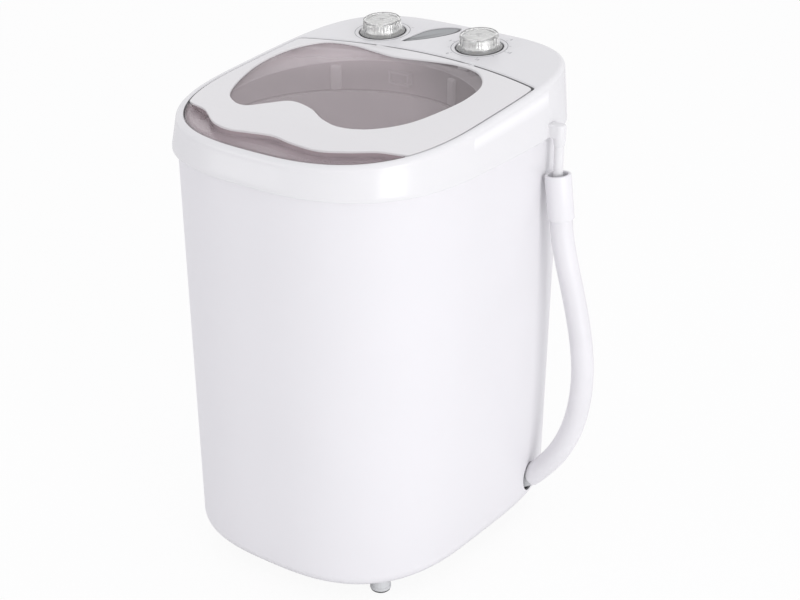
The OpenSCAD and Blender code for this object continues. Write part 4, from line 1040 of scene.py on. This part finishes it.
def make_knob(name, at):
    """A clear cap with a fluted drum and a flared skirt."""
    drum = KNOB_R - 3.5
    low = -DIAL_DEPTH + 0.6
    outer = [(0, KNOB_H), (drum - 8, KNOB_H)] + arc(drum - 2.4, KNOB_H - 2.4, 2.4, 90, 0, 8)
    outer += [(drum, KNOB_H - 5), (drum + 0.2, 8), (drum + 0.6, 5), (drum + 1.1, 3.5)]
    outer += [(drum + 1.8, 2.2), (drum + 2.6, 1.2)]
    outer += arc(KNOB_R - 0.8, -0.3, 0.8, 70, 0, 4) + [(KNOB_R, low + 0.3), (KNOB_R - 0.3, low)]
    inner = [(KNOB_R - 2, low), (KNOB_R - 2, 0), (drum - 1.4, 4), (drum - 2, 6), (drum - 2, KNOB_H - 4.4),
             (drum - 2.4, KNOB_H - 3.4), (drum - 3.2, KNOB_H - 3), (0, KNOB_H - 3)]

    def fluted(r, z, a):
        if z < 3.0 or r < drum - 3 or z > KNOB_H - 0.4:
            return r
        return r - FLUTE_DEPTH * ramp(z, 3.0, 3.0) * max(0.0, math.cos(FLUTES * a)) ** 6

    return turned(name, outer + inner, 240, deck_matrix(*at), 40, fluted)


def make_core(name, at):
    """The silvered cup inside a knob, with a fine sunburst round its side."""
    low, top = -DIAL_DEPTH + 3.1, KNOB_H - 3.05
    core = KNOB_R - 6.8
    profile = [(BORE_R, low), (core - 0.3, low)] + arc(core - 0.6, low + 0.6, 0.6, -60, 0, 3)
    profile += [(core, low + 2), (core - 0.6, low + 3), (core - 1.0, 8)]
    profile += [(core - 1.3, top - 0.5), (core - 1.8, top), (BORE_R, top)]

    def rayed(r, z, a):
        return r - RAY_DEPTH * (1 + math.cos(RAYS * a)) / 2 if r > core - 4 and z > low + 1 else r

    return turned(name, profile, 288, deck_matrix(*at), 35, rayed)


def skirt_painted_shade(at):
    """Painted shade low on the skirt's edge, where it stands in the gap of its dish."""
    return lambda x, y, w: 0.06 if w < -0.25 and math.dist((x, y), at) > KNOB_R - 0.5 else 1.0


for name, at, body in (("timer", TIMER_AT, "timer_control"), ("mode", MODE_AT, "mode_control")):
    cap = make_knob(f"{name}_cap", at)
    set_painted_light(cap, skirt_painted_shade(at))
    dress(cap, "clear_knob", body, f"{name}_knob")
    dress(make_core(f"{name}_core", at), "silver_core", body, f"{name}_knob_core")


# Prints on the deck round the knobs, and rings of painted shade on the dishes' floors, a twentieth of a
# millimetre proud

PRINT_H = 0.05
LINE_R, TICK_R, NUMERAL_R, NUMERAL_H = 30.0, 31.6, 37.6, 5.2


def flat_ring(name, at, inner, outer, w):
    profile = [(inner, w), (outer, w), (outer, w + PRINT_H), (inner, w + PRINT_H)]
    return turned(name, profile, 144, deck_matrix(*at), 30)


def dial_ticks(name, at, count, start, step, long):
    tick = slab_on(moved(0, 0, PRINT_H / 2), (long, 0.5, PRINT_H), "tick", 0.01)
    return ring_of(name, tick, count, TICK_R + long / 2, start, step, deck_matrix(*at), INK_AND_PAINTED_SHADE)


def numeral(text, at, angle):
    """A plain number, upright for a reader in front of the machine."""
    curve = bpy.data.curves.new("numeral", "FONT")
    curve.body = text
    curve.size = NUMERAL_H * MM
    curve.extrude = PRINT_H / 2 * MM
    curve.align_x, curve.align_y = "CENTER", "CENTER"
    piece = bpy.data.objects.new("numeral", curve)
    bpy.context.scene.collection.objects.link(piece)
    piece = settled(piece)
    a = math.radians(angle)
    x, v = at[0] + NUMERAL_R * math.cos(a), at[1] + NUMERAL_R * math.sin(a)
    piece.data.transform(deck_matrix(x, v, PRINT_H / 2))
    return piece


def print_and_painted_shade_on(piece):
    dress(piece, "black_plastic", "machine", finish=INK_AND_PAINTED_SHADE)


for name, at in (("timer", TIMER_AT), ("mode", MODE_AT)):
    # The inner and outer rings are painted shade in the dish's gap round the skirt; the dial line is print
    print_and_painted_shade_on(flat_ring(f"{name}_inner_shade", at, 19.8, 21.3, -DIAL_DEPTH))
    print_and_painted_shade_on(flat_ring(f"{name}_outer_shade", at, 24.3, DIAL_R - 0.15, -DIAL_DEPTH))
    print_and_painted_shade_on(flat_ring(f"{name}_dial_line", at, LINE_R, LINE_R + 0.6, 0.0))
timer_marks = dial_ticks("timer_ticks", TIMER_AT, 11, 240, -30, 2.2)
marks = [numeral(str(3 * i), TIMER_AT, 240 - 60 * i) for i in range(6)]
print_and_painted_shade_on(joined(timer_marks, marks))
print_and_painted_shade_on(dial_ticks("mode_ticks", MODE_AT, 3, 135, -45, 3.2))


# Inlet insert

# The insert's edge lies a little to the left and back in its pocket, as in the photograph
LEAF_EDGE = [(x - 1.2, y + 0.6) for x, y in grow(LEAF_LINE, -1.4)]


def make_leaf():
    soft, side_top = 0.8, -2.0
    rows = [on_deck(LEAF_EDGE, -DIAL_DEPTH - 0.5), on_deck(LEAF_EDGE, side_top)]
    rows += [on_deck(grow(LEAF_EDGE, r - soft), side_top + z) for r, z in arc(0, 0, soft, 30, 90, 4)]
    rows.append(on_deck(grow(LEAF_EDGE, -soft - 1.0), side_top + soft))
    return stack("leaf_insert", rows, 60)


def leaf_painted_shade(x, y, w):
    """Painted shade on the rounded edge."""
    return 0.4 if away((x, y), LEAF_EDGE) < 1.2 else 1.0


leaf = make_leaf()
set_painted_light(leaf, leaf_painted_shade)
dress(leaf, "leaf_grey", "machine", "inlet_cover")


# Screws, each with a round head and a cross recess

SCREW_R, HEAD_R, HEAD_H = 2.0, 3.5, 2.5
# Each set: its piece, node, shank, count, radius of the ring, first angle, middle of the ring
SCREW_SETS = [
    ("tub_screw_set", "tub_screws", 7.4, 8, 139.5, 22.5, (0, TUB_Y, 457)),
    ("housing_screw_set", "housing_screws", 7, 4, 24, 45, (0, TUB_Y, 142)),
    ("motor_screw_set", "motor_screws", 9, 4, 25, 45, (0, 139, 67)),
]


def screw_form(shank):
    """A screw that hangs head down, the bearing face of its head at zero."""
    profile = [(0, -HEAD_H)] + arc(HEAD_R - 1.4, -HEAD_H + 1.4, 1.4, -90, 0, 6)
    profile += [(HEAD_R, -0.2), (HEAD_R - 0.2, 0), (SCREW_R, 0), (SCREW_R, 0.8)]
    for k in range(int(shank - 1.6)):
        profile += [(SCREW_R - 0.35, 1.3 + k), (SCREW_R, 1.8 + k)]
    profile += [(SCREW_R - 0.6, shank), (0, shank)]
    screw = turned("screw", profile, 40)
    slots = [slab_on(moved(0, 0, -HEAD_H) @ Matrix.Rotation(turn, 4, "Z"), (3.8, 0.9, 2.4), "slot", 0.2)
             for turn in (0, math.pi / 2)]
    return cut_with(screw, slots)


def screw_ring(name, shank, count, radius, start, middle):
    screw, step = screw_form(shank), 360 / count
    return ring_of(name, screw, count, radius, start, step, moved(*middle), FINISHES["steel"])


side_pair = screw_ring("base_screw_set", 10, 2, 122, 0, (0, -WIDEST_FRONT, FLOOR_GAP))
end_pair = screw_ring("base_screw_ends", 10, 2, 154, 90, (0, 0, FLOOR_GAP))
dress(joined(side_pair, [end_pair]), "steel", "machine", "base_screws")
for name, node, *form in SCREW_SETS:
    dress(screw_ring(name, *form), "steel", "machine", node)


# Every solid that keeps its drawn shape takes its finish

SLOTS = {entry["node"]: entry["material_slot"] for entry in frame["record"]["subparts"]}
for node, piece in nodes.items():
    piece.data.materials.clear()
    piece.data.materials.append(FINISHES[SLOTS[node]])
    piece.data.shade_smooth()


# Light, floor and backdrop

FLOOR_GLOW, FLOOR_HALF = 0.92, 12.0
LAMP_SIDE = 1.6


def seen_by(tree, *kinds):
    """1 for a ray of any of these kinds, and 0 for the rest."""
    path = tree.nodes.new("ShaderNodeLightPath").outputs
    seen, *more = [path[f"Is {kind} Ray"] for kind in kinds]
    for other in more:
        seen = wired(tree, "ShaderNodeMath", "Value", {0: seen, 1: other}, operation="MAXIMUM")
    return seen


def floor_material():
    """A pale surface that shows near white and still takes the object's shadow."""
    mat = bpy.data.materials.new("pale_floor")
    mat.use_nodes = True
    tree = mat.node_tree
    shader = tree.nodes["Principled BSDF"]
    shader.inputs["Base Color"].default_value = (0.9, 0.9, 0.9, 1.0)
    shader.inputs["Roughness"].default_value = 0.9
    light = wired(tree, "ShaderNodeEmission", "Emission", {"Color": (1, 1, 1, 1), "Strength": 1.0})
    glow = wired(tree, "ShaderNodeMath", "Value",
                 {0: seen_by(tree, "Camera", "Transmission"), 1: FLOOR_GLOW}, operation="MULTIPLY")
    mix = wired(tree, "ShaderNodeMixShader", "Shader", {"Fac": glow, 1: shader.outputs["BSDF"], 2: light})
    tree.links.new(mix, tree.nodes["Material Output"].inputs["Surface"])
    return mat


def make_floor():
    mesh = bpy.data.meshes.new("floor")
    s = FLOOR_HALF
    mesh.from_pydata([(-s, -s, 0), (s, -s, 0), (s, s, 0), (-s, s, 0)], [], [(0, 1, 2, 3)])
    mesh.materials.append(floor_material())
    floor = bpy.data.objects.new("floor", mesh)
    bpy.context.scene.collection.objects.link(floor)


def make_world():
    """Soft light from all round, plain white to the camera, in reflections and through clear pieces."""
    world = bpy.data.worlds.new("studio")
    bpy.context.scene.world = world
    world.use_nodes = True
    tree = world.node_tree
    base = tree.nodes["Background"]
    base.inputs["Color"].default_value = (0.97, 0.965, 1.0, 1.0)
    base.inputs["Strength"].default_value = 0.8
    white = wired(tree, "ShaderNodeBackground", "Background", {"Color": (1, 1, 1, 1), "Strength": 1.0})
    seen = seen_by(tree, "Camera", "Glossy", "Transmission")
    mix = wired(tree, "ShaderNodeMixShader", "Shader", {"Fac": seen, 1: base.outputs["Background"], 2: white})
    tree.links.new(mix, tree.nodes["World Output"].inputs["Surface"])


def make_lamp(name, place, aim_z, power):
    aim = (0, 0, aim_z)
    data = bpy.data.lights.new(name, "AREA")
    data.shape = "RECTANGLE"
    data.size = data.size_y = LAMP_SIDE
    data.energy = power
    lamp = bpy.data.objects.new(name, data)
    back = (Vector(place) - Vector(aim)).normalized()
    lamp.matrix_world = Matrix.Translation(place) @ back.to_track_quat("Z", "Y").to_matrix().to_4x4()
    bpy.context.scene.collection.objects.link(lamp)


make_floor()
make_world()
make_lamp("key", (3.5, -1.2, 0.7), 0.25, 50.0)
make_lamp("fill", (-2.2, -2.8, 0.9), 0.25, 11.0)
make_lamp("top", (0.0, 0.4, 2.6), 0.3, 5.0)

bpy.context.scene.view_settings.view_transform = "Standard"
